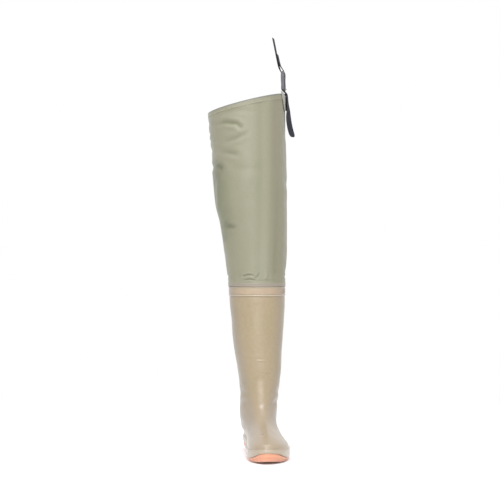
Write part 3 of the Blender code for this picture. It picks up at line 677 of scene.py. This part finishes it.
leg = {
    "columns": 124, "innerStep": 3, "start": 377.5, "tapeTop": 385.5, "lapTop": 388.6, "hemDepth": 14.0,
    "hemStep": 0.8, "tapeStep": 0.5, "lapStep": 0.15, "stitchAt": 805.0, "sag": 0.7, "slack": 0.22,
    "innerOut": 0.55, "wall": 1.1,
    "weldGather": (0.32, 46), "sewnGather": (0.16, 120), "hemGather": (0.10, 90),  # depth, folds round the leg
    "seam": {"behind": 24, "height": 0.55, "groove": 0.22},
    # painted shade in the deepest folds: across, height, half width, half height, strength
    "stains": [(-92, 655, 9, 6, 0.9), (-84, 648, 6, 5, 0.6), (-94, 632, 7, 14, 0.45), (-67, 513, 13, 5.5, 0.7),
               (-74, 522, 7, 5, 0.4), (-78, 486, 6, 14, 0.4), (-90, 600, 6, 40, 0.25)],
    "creases": [
        # crumpled folds at the crotch
        ("front", [(-108, 739), (-76, 745), (-50, 741), (-38, 731)], 4.6, -2.9, 0.5),
        ("front", [(-76, 702), (-52, 709), (-26, 721)], 5.0, -1.7, 0.5),
        ("front", [(-100, 681), (-74, 679), (-46, 672)], 5.6, -2.0, 0.5),
        ("front", [(-108, 663), (-94, 657), (-85, 644), (-82, 628)], 5.6, -3.8, 0.4),
        ("front", [(-82, 521), (-68, 514), (-54, 509)], 4.6, -2.4, 0.5),
        ("front", [(-80, 505), (-72, 497), (-66, 488)], 4.0, -1.2, 0.4),
        ("front", [(-90, 622), (-87, 580), (-79, 530)], 8.0, -1.8),
        ("front", [(-84, 766), (-50, 771), (-10, 768)], 5.0, -0.8),
        ("front", [(-62, 650), (-22, 640), (6, 648)], 11.0, -0.7),
        ("front", [(-70, 560), (-40, 590), (-16, 640)], 12.0, 0.8),
        # where the front turns to the side
        ("front", [(24, 812), (25, 640), (22, 500), (20, 400)], 10.0, 1.5, 0.5, False),
        ("front", [(44, 790), (45, 640), (41, 500), (36, 410)], 9.0, -1.3, 0.35, False),
        # pulled in above the weld
        ("front", [(-38, 400.5), (-24, 404.5), (-12, 403.0)], 1.9, -2.1),
        ("front", [(-33, 392.5), (-20, 394.5), (-7, 391.8)], 1.6, -2.0),
        ("front", [(-8, 396), (-1, 402), (1, 409)], 2.2, -1.1),
        ("front", [(33, 402), (38, 409), (40, 417)], 2.2, -1.0),
        ("front", [(4, 391), (20, 391.5), (36, 391)], 1.6, -0.7),
        ("front", [(-46, 414), (-42, 402), (-43, 393)], 2.5, -0.8),
        ("front", [(12, 394), (17, 401), (16, 414)], 2.8, 0.8),
        ("inner", [(-78, 741), (-30, 751), (10, 744), (46, 730)], 4.6, -1.2),
        ("inner", [(-80, 703), (-36, 712), (20, 704)], 5.0, -0.9),
        ("inner", [(-74, 681), (-20, 688), (44, 672)], 5.6, -1.0),
        ("inner", [(-76, 661), (-30, 648), (20, 652), (52, 640)], 5.8, -1.9),
        ("inner", [(-40, 726), (0, 722), (36, 714)], 4.2, -1.4, 0.4),
        ("inner", [(-56, 622), (-30, 560), (-24, 480)], 10.0, -1.4),
        ("inner", [(-40, 402), (-10, 397), (16, 402)], 2.6, -1.2),
        ("outer", [(-50, 404), (-20, 398), (10, 402)], 2.6, -1.2),
        ("outer", [(-22, 430), (-14, 560), (-22, 700)], 12.0, 1.1, 0.35, False),
        ("outer", [(-62, 622), (-14, 608), (40, 616)], 9.0, -1.0),
        # behind the knee
        ("back", [(-84, 628), (-46, 614), (0, 612), (48, 624)], 5.0, -1.9, 0.6),
        ("back", [(-80, 598), (-40, 588), (10, 590), (44, 600)], 5.4, -1.7, 0.6),
        ("back", [(-60, 571), (-20, 564), (30, 572)], 5.0, -1.2, 0.6),
        ("back", [(-72, 720), (-52, 660), (-48, 560)], 13.0, 1.2, 0.35, False),
        ("back", [(32, 730), (24, 640), (26, 520)], 13.0, 1.2, 0.35, False),
        ("back", [(-34, 404), (0, 398), (30, 403)], 2.4, -1.2),
        ("back", [(-88, 745), (-46, 736), (6, 746)], 5.0, -1.5, 0.5),
    ],
}


def buildLeg():
    share, side = ringColumns(leg["columns"])
    top = legForm["top"]
    heights = np.concatenate([np.arange(leg["start"], 391, 0.8), np.arange(391, 420, 1.3),
                              np.arange(421, 800, 3.0), [800.4, 801.2, 801.8, 802.2, 803.2],
                              np.arange(805, top, 1.6), [top]])
    base = np.array([legRing(z, share, side, 1.0) for z in heights])
    level = heights[:, None] + np.zeros(base.shape[1])
    normals = gridNormals(base)
    tape = (1 - ease(leg["tapeTop"] - 0.4, leg["tapeTop"] + 0.6, level))
    lap = (1 - ease(leg["lapTop"] - 0.4, leg["lapTop"] + 1.0, level))
    hemLow = top - leg["hemDepth"]
    hem = ease(hemLow - 0.9, hemLow + 0.3, level)
    # creases fade where the cloth is double
    fade = 1 - np.maximum(lap, hem * 0.75)
    crease = strokes(base, normals, leg["creases"]) * np.clip(fade + 0.15, 0, 1)
    out = crease.copy()
    angle = np.arctan2(base[..., 1] + 18, base[..., 0] + 14)
    # the cloth is gathered a little where it is welded and where it is sewn
    depth, count = leg["weldGather"]
    gather = np.sin(angle * count + 2.4 * np.sin(angle * 7)) * (0.5 + 0.5 * np.sin(angle * 5 + 1))
    out += depth * gather * bump(level, 396, 9) * (1 - lap)
    depth, count = leg["sewnGather"]
    out += depth * np.sin(angle * count + 2 * np.sin(angle * 11)) * bump(level, hemLow - 1.5, 3.2)
    depth, count = leg["hemGather"]
    out += depth * np.sin(angle * count + 2 * np.sin(angle * 9)) * hem
    sag = leg["sag"] * waves(base * [1, 1, 0.45], 3, 120, 6) * ease(400, 460, level)
    out += sag * (1 - ease(770, 800, level))
    out += leg["slack"] * waves(base, 5, 34) * ease(395, 430, level) * (1 - ease(780, 800, level))
    out += leg["tapeStep"] * tape + leg["lapStep"] * lap + leg["hemStep"] * hem
    out -= 0.35 * bump(level, leg["tapeTop"] - 4.2, 0.8)
    # a flat felled seam down the inner side
    across, behind = hipAxes(base)
    acrossNormal, behindNormal = hipAxes(normals)
    seamAt = np.where(acrossNormal < -0.4, np.abs(behind - leg["seam"]["behind"]), 99.0)
    seam = (1 - ease(3.4, 4.4, seamAt)) * (1 - lap) * (1 - hem)
    out += leg["seam"]["height"] * seam
    out -= leg["seam"]["groove"] * bump(seamAt, 1.6, 0.7) * (1 - hem)
    outer = base + normals * out[..., None]
    # the inner wall keeps behind the deepest crease near each point
    last, step = len(base) - 1, leg["innerStep"]
    keep = list(range(0, len(base), step)) + ([last] if last % step else [])
    lowest = crease
    for _ in range(2):
        lowest = np.minimum(lowest, np.minimum(np.roll(lowest, 1, 1), np.roll(lowest, -1, 1)))
        lowest[1:-1] = np.minimum(lowest[1:-1], np.minimum(lowest[:-2], lowest[2:]))
    innerOut = np.minimum(leg["innerOut"], lowest) - leg["wall"]
    inner = (base + normals * innerOut[..., None])[keep]
    # the way round the leg and up it, for the weave
    steps = np.linalg.norm(np.diff(base, axis=1, append=base[:, :1]), axis=-1)
    wayRound = np.concatenate([np.zeros((len(base), 1)), np.cumsum(steps, 1)[:, :-1]], 1)
    cloth = np.stack([wayRound, level, np.zeros_like(level)], -1) * millimetre
    # painted shade on the inner side, between heights 430 and 700
    green = 0.75 * ease(0.40, 0.95, -acrossNormal) * (1 - ease(-0.25, 0.45, behindNormal))
    green = green * ease(430, 560, level) * (1 - ease(600, 700, level))
    # painted shade in the deepest folds
    stain = sum(strength * np.exp(-(((across - x) / wide) ** 2) - ((level - z) / high) ** 2)
                for x, z, wide, high, strength in leg["stains"])
    row = int(np.argmin(np.abs(heights - leg["stitchAt"])))
    leg["stitchLine"] = [np.concatenate([grid[row], grid[row][:1]]) for grid in (outer, normals)]
    # painted shade: a grey line along the collar's top edge
    tags = outerTags(inner, tape=tape, hem=hem, rim=ease(811.8, 814.6, level), seam=seam,
                     # painted shade on the side plane
                     side=ease(23, 36, across) * (behindNormal < 0.35),
                     # painted shade in the creases and on the inner side
                     hollow=(np.clip(-crease - 0.3, 0, 2.6) / 2.6 + green).clip(0, 1),
                     stain=np.clip(stain, 0, 1) * (1 - ease(-0.2, 0.3, behindNormal)))
    tags["cloth"] = np.concatenate([cloth.reshape(-1, 3), cloth[keep].reshape(-1, 3)])
    return tubeMesh("legFabric", outer, inner, [legCloth(), legBacking()], tags)


def clothWeave(tree):
    split = addNode(tree, "ShaderNodeSeparateXYZ")
    tree.links.new(tag(tree, "cloth").outputs["Vector"], split.inputs[0])
    threads = 2 * math.pi * 1700  # a metre
    across = sums(tree, "SINE", sums(tree, "MULTIPLY", split.outputs[0], threads), 0)
    along = sums(tree, "SINE", sums(tree, "MULTIPLY", split.outputs[1], threads), 0)
    weave = sums(tree, "MULTIPLY", across, along)
    return sums(tree, "ADD", sums(tree, "MULTIPLY", weave, 0.25), noise(tree, 260, 4))


def legCloth():
    material, tree, shader = newMaterial("legCloth", Roughness=0.5, IOR=1.47, Sheen_Weight=0.12,
                                         Sheen_Roughness=0.4, Coat_Weight=0.12, Coat_Roughness=0.32)
    cloudy = mottled(tree, 7, 3, (0.3, (0.189, 0.185, 0.120)), (0.5, (0.196, 0.188, 0.124)),
                     (0.7, (0.201, 0.189, 0.129)))
    specks = mottled(tree, 330, 4, (0.35, (0.142, 0.142, 0.085)), (0.7, (0.255, 0.247, 0.183)))
    colour = mixColour(tree, 0.10, cloudy, specks)
    # painted shade on the side plane
    colour = tinted(tree, colour, "side", 0.45, (0.162, 0.146, 0.092))
    # painted shade in the creases and on the inner side
    colour = tinted(tree, colour, "hollow", 0.75, (0.109, 0.120, 0.058))
    # painted shade in the deepest folds
    colour = tinted(tree, colour, "stain", 0.75, (0.062, 0.070, 0.036))
    colour = tinted(tree, colour, "seam", 0.25, (0.166, 0.162, 0.106))
    colour = tinted(tree, colour, "hem", 0.15, (0.212, 0.210, 0.152))
    colour = mixColour(tree, tag(tree, "tape").outputs["Fac"], colour, (0.212, 0.187, 0.146))
    # painted shade: a grey line along the collar's top edge
    colour = tinted(tree, colour, "rim", 0.8, (0.106, 0.110, 0.106))
    tree.links.new(colour, shader.inputs["Base Color"])
    tree.links.new(mottled(tree, 45, 4, (0.3, (0.44,) * 3), (0.7, (0.58,) * 3)), shader.inputs["Roughness"])
    addBump(tree, shader, clothWeave(tree), 0.22, 0.0004)
    return material


def legBacking():
    material, tree, shader = newMaterial("legBacking", Roughness=0.75, Sheen_Weight=0.2)
    colour = mottled(tree, 60, 4, (0.3, (0.200, 0.204, 0.144)), (0.7, (0.256, 0.256, 0.188)))
    tree.links.new(colour, shader.inputs["Base Color"])
    addBump(tree, shader, clothWeave(tree), 0.3, 0.0005)
    return material


legFabric = buildLeg()
print("leg made")

# strap, tab and buckle

strap = {"share": 0.42, "turn": math.radians(-6.6), "width": 25.0, "thick": 1.6, "ribs": 9, "ribDepth": 0.16,
         "columns": 37, "edgeThin": 0.45, "barGap": 0.3, "step": 1.3,
         "ribThreads": 720, "crossThreads": 620}  # threads a metre
# out from the leg, height, turn in degrees and width along each run of webbing
webTop = [(-27.8, 943.0, 3, 25), (-20.4, 906.0, 3, 25), (-15.2, 880.0, 3, 25), (-12.6, 871.5, 2, 25),
          (-9.6, 866.0, 0, 25)]
webEnd = [(-4.6, 869.5, 0, 25), (-9.4, 876.8, 2, 25), (-12.7, 882.0, 3, 25), (-18.2, 906.0, 3, 25)]
webStanding = [(2.9, 777.0, 0, 25), (2.9, 806.0, 0, 25), (2.4, 813.0, 0, 25), (0.2, 818.0, 0, 25),
               (-4.6, 821.6, 0, 25), (-7.3, 824.5, 0, 25), (-7.6, 829.0, 0, 25)]
webTail = [(-2.9, 837.0, 0, 25), (-5.3, 830.5, 0, 25), (-5.6, 826.2, 0, 25), (-3.2, 823.1, 0, 25),
           (1.8, 819.2, 0, 25), (4.3, 813.6, 0, 25), (4.9, 806.0, 0, 25), (5.3, 797.0, 2, 25),
           (6.3, 787.0, 6, 25), (7.1, 779.0, 11, 25), (7.1, 771.0, 16, 25), (7.3, 763.0, 20, 25),
           (8.2, 753.0, 23, 25), (10.8, 738.0, 25, 25), (14.2, 725.5, 26, 25), (15.7, 721.0, 26, 22.5),
           (16.5, 718.6, 26, 17.5), (16.9, 717.4, 26, 10)]
topBar, middleBar = (-5.0, 862.0, 2.2), (-4.8, 846.0, 2.0)  # out, height, radius
buckle = {"inside": 13.3, "outside": 16.5, "barSunk": 1.0, "bevel": 0.45,
          "plate": [(-8.0, 866.0), (-2.2, 867.0), (-0.6, 860.0), (-1.2, 846.0), (-0.2, 829.5), (-1.2, 824.2),
                    (-5.5, 823.4), (-8.4, 838.0), (-9.2, 857.0)],
          "grip": [(-3.5, 825.8), (-4.3, 828.2), (-2.4, 829.8), (1.4, 828.4), (2.0, 826.8), (0.6, 825.6),
                   (-1.8, 824.8)]}


def strapPlace(out, across, z):
    x, y, _ = legPoint(legForm["top"], np.array(strap["share"]), 1, 1.8)
    side, back = turned(np.asarray(out, float), np.asarray(across, float), strap["turn"])
    x, y = turned(x + side, y + back, hipTurn)
    return np.stack([x, y, z + 0 * x], -1)


def barArc(bar, start, end, steps):
    radius = bar[2] + strap["barGap"] + strap["thick"] / 2
    turns = np.radians(np.linspace(start, end, steps + 1))
    return [(bar[0] + radius * math.cos(t), bar[1] + radius * math.sin(t), 0, strap["width"]) for t in turns]


def eased(path):  # corners are cut twice
    for _ in range(2):
        points = [path[0]]
        for a, b in zip(path, path[1:]):
            points.append(tuple(0.75 * p + 0.25 * q for p, q in zip(a, b)))
            points.append(tuple(0.25 * p + 0.75 * q for p, q in zip(a, b)))
        path = points + [path[-1]]
    return path


def resampled(path, step):
    path = np.array(path, float)
    length = np.concatenate([[0], np.cumsum(np.hypot(np.diff(path[:, 0]), np.diff(path[:, 1])))])
    count = max(4, int(length[-1] / step))
    at = np.linspace(0, length[-1], count)
    return np.stack([np.interp(at, length, path[:, k]) for k in range(4)], -1), at


def webbing(name, path, material):
    path, at = resampled(path, strap["step"])
    before, after = np.roll(path, 1, 0), np.roll(path, -1, 0)
    before[0], after[-1] = path[0], path[-1]
    run = np.hypot(after[:, 0] - before[:, 0], after[:, 1] - before[:, 1])
    rise, lean = (after[:, 1] - before[:, 1]) / run, (after[:, 0] - before[:, 0]) / run
    turn = np.radians(path[:, 2])
    u = np.linspace(-1, 1, strap["columns"])
    rib = strap["ribDepth"] * (np.cos(u * math.pi * strap["ribs"]) - 1) / 2
    edgeThin = strap["edgeThin"] * np.clip((np.abs(u) - 0.93) / 0.07, 0, 1)
    top = np.stack([u, strap["thick"] / 2 + rib - edgeThin], -1)
    profile = np.concatenate([top, (top * [1, -1])[::-1]])
    rows = []
    for k in range(len(path)):
        half = path[k, 3] / 2
        wide = profile[:, 0] * half
        deep = profile[:, 1] * (1 + 0.04 * math.sin(at[k] * 2.4))
        out = path[k, 0] + deep * rise[k] * math.cos(turn[k]) + wide * math.sin(turn[k])
        across = wide * math.cos(turn[k]) - deep * rise[k] * math.sin(turn[k])
        rows.append(strapPlace(out, across, path[k, 1] - deep * lean[k]))
    rows = np.array(rows)
    count = rows.shape[1]
    faces = [list(f) for f in gridFaces(len(rows), count)]
    for start in (0, (len(rows) - 1) * count):
        for k in range(strap["columns"] - 1):
            faces.append([start + k, start + k + 1, start + count - k - 2, start + count - k - 1])
    cloth = np.zeros(rows.shape)
    cloth[..., 0] = profile[:, 0] * (strap["width"] / 2)
    cloth[..., 1] = at[:, None]
    tags = {"cloth": cloth.reshape(-1, 3) * millimetre}
    return makeMesh(name, rows.reshape(-1, 3), faces, [material], None, tags)


def webCloth():
    material, tree, shader = newMaterial("webCloth", Roughness=0.7, Specular_IOR_Level=0.22, Sheen_Weight=0.03,
                                         Sheen_Roughness=0.4)
    split = addNode(tree, "ShaderNodeSeparateXYZ")
    tree.links.new(tag(tree, "cloth").outputs["Vector"], split.inputs[0])
    # threads lie in slanted rows between the ribs
    ribs = sums(tree, "SINE", sums(tree, "MULTIPLY", split.outputs[0], 2 * math.pi * strap["ribThreads"]), 0)
    along = sums(tree, "MULTIPLY", split.outputs[1], 2 * math.pi * strap["crossThreads"])
    threads = sums(tree, "SINE", sums(tree, "ADD", along, sums(tree, "MULTIPLY", ribs, 1.1)), 0)
    relief = sums(tree, "MULTIPLY", threads, 0.5)
    height = sums(tree, "ADD", relief, sums(tree, "MULTIPLY", noise(tree, 900, 3), 0.6))
    share = sums(tree, "ADD", sums(tree, "MULTIPLY", threads, 0.25), 0.5)
    dark = ramp(tree, share, [(0.2, (0.006, 0.006, 0.010)), (0.8, (0.017, 0.018, 0.028))])
    worn = mottled(tree, 60, 4, (0.3, (0.007, 0.007, 0.011)), (0.7, (0.028, 0.029, 0.042)))
    tree.links.new(mixColour(tree, 0.25, dark, worn), shader.inputs["Base Color"])
    addBump(tree, shader, height, 0.6, 0.0004)
    return material


def bars(corners, low, high):  # a flat outline carried across from low to high
    count = len(corners)
    out, z = np.array([p[0] for p in corners]), np.array([p[1] for p in corners])
    points = np.concatenate([strapPlace(out, np.full(count, across), z) for across in (low, high)])
    faces = [list(f) for f in gridFaces(2, count)]
    faces += [list(range(count))[::-1], list(range(count, 2 * count))]
    return points, faces


def roundedEdge(corners):
    points = [np.array(c, float) for c in corners]
    for _ in range(2):
        pairs = zip(points, points[1:] + points[:1])
        points = [p for a, b in pairs for p in (0.8 * a + 0.2 * b, 0.2 * a + 0.8 * b)]
    return [tuple(p) for p in points]


def buildBuckle():
    plate, reach = roundedEdge(buckle["plate"]), buckle["inside"] + buckle["barSunk"]
    pieces = [bars(plate, buckle["inside"], buckle["outside"]),
              bars(plate, -buckle["outside"], -buckle["inside"])]
    for out, z, radius in (topBar, middleBar):
        turns = np.linspace(0, 2 * math.pi, 29)[:-1]
        circle = [(out + radius * math.cos(t), z + radius * math.sin(t)) for t in turns]
        pieces.append(bars(circle, -reach, reach))
    pieces.append(bars(roundedEdge(buckle["grip"]), -reach, reach))
    points, faces, start = [], [], 0
    for piecePoints, pieceFaces in pieces:
        points.append(piecePoints)
        faces += [[i + start for i in face] for face in pieceFaces]
        start += len(piecePoints)
    material, tree, shader = newMaterial("bucklePlastic", Roughness=0.38, IOR=1.5, Coat_Weight=0.1,
                                         Coat_Roughness=0.25)
    colour = mottled(tree, 120, 4, (0.3, (0.033, 0.034, 0.041)), (0.7, (0.051, 0.052, 0.063)))
    tree.links.new(colour, shader.inputs["Base Color"])
    tree.links.new(mottled(tree, 300, 4, (0.3, (0.30,) * 3), (0.7, (0.46,) * 3)), shader.inputs["Roughness"])
    addBump(tree, shader, noise(tree, 1200, 3), 0.1, 0.0003)
    piece = makeMesh("slideBuckle", np.concatenate(points), faces, [material])
    soften = piece.modifiers.new("soften", "BEVEL")
    soften.width = buckle["bevel"] * millimetre
    soften.segments = 3
    soften.limit_method = "ANGLE"
    soften.angle_limit = math.radians(50)
    piece.data.set_sharp_from_angle(angle=math.radians(40))
    return piece


def tabCloth():
    material, tree, shader = newMaterial("tabCloth", Roughness=0.55, IOR=1.47, Sheen_Weight=0.12,
                                         Sheen_Roughness=0.4)
    plain = mottled(tree, 60, 4, (0.3, (0.228, 0.228, 0.172)), (0.7, (0.264, 0.262, 0.210)))
    pale = tinted(tree, plain, "hem", 0.6, (0.330, 0.330, 0.295))
    tree.links.new(pale, shader.inputs["Base Color"])
    addBump(tree, shader, clothWeave(tree), 0.25, 0.0004)
    return material


tab = {"out": 2.35, "thick": 1.1, "top": (822.0, 808.0), "slant": 2.4, "low": 778.0, "columns": 44, "rows": 34,
       "front": (0.2295, 0.33), "back": (0.57, 0.50),  # share along the leg's side, at the top and at the foot
       "span": 44.0, "swell": 0.22, "stitchIn": 3.4}


def buildTab():
    outerRows, innerRows, cloth = [], [], []
    for down in np.linspace(0, 1, tab["rows"]):
        share = np.linspace(0, 1, tab["columns"])
        first = tab["front"][0] + (tab["front"][1] - tab["front"][0]) * down
        last = tab["back"][0] + (tab["back"][1] - tab["back"][0]) * down
        top = tab["top"][0] + (tab["top"][1] - tab["top"][0]) * np.minimum(1, share * tab["slant"])
        z = top + (tab["low"] - top) * down
        at = first + (last - first) * share
        rows = []
        rim = np.minimum(np.minimum(share, 1 - share) * tab["span"], min(down, 1 - down) * tab["span"])
        swell = tab["swell"] * np.clip(1 - rim / 3.0, 0, 1)
        stitch = -tab["swell"] * bump(rim, tab["stitchIn"], 0.5)
        for out, sign in ((tab["out"], -1), (tab["out"] + tab["thick"], 1)):
            grown = out + (swell + stitch if sign > 0 else 0)
            x, y, height = legPoint(z, at, 1, grown)
            rows.append(np.stack([*turned(x, y, hipTurn), height], -1))
        innerRows.append(rows[0])
        outerRows.append(rows[1])
        cloth.append(np.stack([at * 200, z, 0 * z], -1))
    outer, inner = np.array(outerRows), np.array(innerRows)
    rows, columns = outer.shape[:2]
    size = rows * columns
    index = np.arange(size).reshape(rows, columns)
    quads = np.stack([index[:-1, :-1], index[:-1, 1:], index[1:, 1:], index[1:, :-1]], -1).reshape(-1, 4)
    faces = [list(f) for f in quads] + [list(f[::-1] + size) for f in quads]
    loop = list(index[0]) + list(index[1:, -1]) + list(index[-1, -2::-1]) + list(index[-2:0:-1, 0])
    for a, b in zip(loop, loop[1:] + loop[:1]):
        faces.append([a, b, b + size, a + size])
    # the bound rim is paler
    share = np.linspace(0, 1, columns)
    away = np.minimum(share, 1 - share) * tab["span"]
    rimTag = np.concatenate([np.tile(1 - ease(2.2, 3.4, away), rows)] * 2)
    tags = {"cloth": np.concatenate([np.array(cloth).reshape(-1, 3)] * 2) * millimetre, "hem": rimTag}
    points = np.concatenate([outer.reshape(-1, 3), inner.reshape(-1, 3)])
    return makeMesh("strapTab", points, faces, [tabCloth()], None, tags)


def sewingThread():
    material, tree, shader = newMaterial("sewingThread", Roughness=0.6, Sheen_Weight=0.2)
    colour = mottled(tree, 900, 2, (0.3, (0.288, 0.280, 0.216)), (0.7, (0.400, 0.392, 0.320)))
    tree.links.new(colour, shader.inputs["Base Color"])
    return material


thread = {"length": 3.0, "gap": 1.0, "radius": 0.24, "sides": 6, "lift": (-0.9, 0.35, 0.6, 0.35, -0.9)}


# a row of short threads along a line of points, each dipping into the cloth at its ends
def stitches(name, line, normals, material):
    run = np.concatenate([[0], np.cumsum(np.linalg.norm(np.diff(line, axis=0), axis=1))])
    length, gap, radius, sides = (thread[key] for key in ("length", "gap", "radius", "sides"))
    count = len(thread["lift"])
    points, faces = [], []
    for start in np.arange(gap, run[-1] - length, length + gap):
        at = start + np.linspace(0, 1, count) * length
        middle = np.stack([np.interp(at, run, line[:, k]) for k in range(3)], -1)
        up = np.stack([np.interp(at, run, normals[:, k]) for k in range(3)], -1)
        up /= np.linalg.norm(up, axis=1, keepdims=True)
        lift = radius * np.array(thread["lift"])
        along = middle[-1] - middle[0]
        along /= np.linalg.norm(along)
        first = len(points)
        for j in range(count):
            sideways = np.cross(up[j], along)
            centre = middle[j] + up[j] * lift[j]
            for t in np.linspace(0, 2 * math.pi, sides + 1)[:-1]:
                points.append(centre + radius * (sideways * math.cos(t) + up[j] * math.sin(t)))
        faces += (gridFaces(count, sides) + first).tolist()
        last = first + (count - 1) * sides
        faces += [[first + k for k in range(sides)][::-1], [last + k for k in range(sides)]]
    return makeMesh(name, np.array(points), faces, [material])


webMaterial = webCloth()
upperPath = eased(webTop) + barArc(topBar, 165, 385, 40) + eased(webEnd)
lowerPath = eased(webStanding) + barArc(middleBar, 180, 0, 30) + eased(webTail)
strapUpper = webbing("strapUpper", upperPath, webMaterial)
strapLower = webbing("strapLower", lowerPath, webMaterial)
slideBuckle = buildBuckle()
strapTab = buildTab()
hemStitches = stitches("hemStitches", *leg["stitchLine"], sewingThread())
print("strap made")

# riding on the body

for piece, node, slotName in (
        (bootShell, "upper", "boot_pvc"), (outsoleMesh, "outsole", "sole_pvc"),
        (footbedPad, "insole", "footbed"), (legFabric, "leg", "leg_fabric"),
        (strapTab, "strap_tab", "leg_fabric"), (strapUpper, "strap_upper", "webbing"),
        (strapLower, "strap_lower", "webbing"), (slideBuckle, "buckle", "buckle_plastic")):
    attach(piece, "root")
    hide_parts(node)

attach(hemStitches, "root")

# studio

studio = {
    "distance": 3.4, "height": 0.460, "aside": -0.0196, "lens": 106.43, "floor": 0.93, "floorRadius": 12.0,
    # name, ahead of the wader, aside, height, aim, size, radiance, colour
    "lights": [("frontPanel", 4.3, -0.25, 1.5, (0, 0, 0.5), (4.6, 3.4), 1.15, (1, 1, 1)),
               ("shinBox", 3.7, -0.12, 0.9, (0, 0, 0.3), (1.5, 1.7), 2.4, (1.0, 0.98, 0.97)),
               ("topBox", 1.75, -0.1, 2.8, (0, -0.1, 0.1), (3.2, 1.3), 4.6, (0.96, 0.98, 1.1))],
}
right = Vector((math.cos(hipTurn), math.sin(hipTurn), 0))
forward = Vector((-math.sin(hipTurn), math.cos(hipTurn), 0))
camera = addObject("camera", bpy.data.cameras.new("camera"))
camera.location = -forward * studio["distance"] + right * studio["aside"] + Vector((0, 0, studio["height"]))
camera.rotation_euler = forward.to_track_quat("-Z", "Y").to_euler()
camera.data.lens = studio["lens"]
camera.data.sensor_width = 36
camera.data.clip_end = 100
bpy.context.scene.camera = camera


# a round pale floor that the white room meets far behind the object
def buildFloor():
    turns = np.linspace(0, 2 * math.pi, 97)[:-1]
    mesh = bpy.data.meshes.new("studioFloor")
    points = [(studio["floorRadius"] * math.cos(t), studio["floorRadius"] * math.sin(t), 0) for t in turns]
    mesh.from_pydata(points, [], [tuple(range(96))])
    floor = addObject("studioFloor", mesh)
    grey = (studio["floor"],) * 3 + (1,)
    material, tree, shader = newMaterial("palePaper", Base_Color=grey, Roughness=0.9, Specular_IOR_Level=0.0)
    # the paper brightens to the room's white away from the object
    distance = addNode(tree, "ShaderNodeVectorMath", operation="LENGTH")
    tree.links.new(place(tree), distance.inputs[0])
    far = addNode(tree, "ShaderNodeMapRange",
                  **{"From Min": 0.35, "From Max": 1.5, "interpolation_type": "SMOOTHSTEP"})
    tree.links.new(distance.outputs["Value"], far.inputs["Value"])
    glow = addNode(tree, "ShaderNodeEmission", Strength=1.0)
    blend = tree.nodes.new("ShaderNodeMixShader")
    tree.links.new(far.outputs["Result"], blend.inputs[0])
    tree.links.new(shader.outputs[0], blend.inputs[1])
    tree.links.new(glow.outputs[0], blend.inputs[2])
    tree.links.new(blend.outputs[0], tree.nodes["Material Output"].inputs["Surface"])
    mesh.materials.append(material)


def addLight(name, ahead, aside, height, aim, size, radiance, colour):
    where = -forward * ahead + right * aside + Vector((0, 0, height))
    lamp = bpy.data.lights.new(name, "AREA")
    lamp.shape = "RECTANGLE"
    lamp.size, lamp.size_y = size
    lamp.energy = radiance * 4 * size[0] * size[1]
    lamp.color = colour
    light = addObject(name, lamp)
    light.location = where
    light.rotation_euler = (Vector(aim) - where).to_track_quat("-Z", "Y").to_euler()
    light.visible_camera = False


buildFloor()
for light in studio["lights"]:
    addLight(*light)
world = bpy.data.worlds.new("whiteRoom")
world.use_nodes = True
world.node_tree.nodes["Background"].inputs["Color"].default_value = (1, 1, 1, 1)
world.node_tree.nodes["Background"].inputs["Strength"].default_value = 1.0
bpy.context.scene.world = world
bpy.context.scene.view_settings.view_transform = "Standard"
print("studio made")
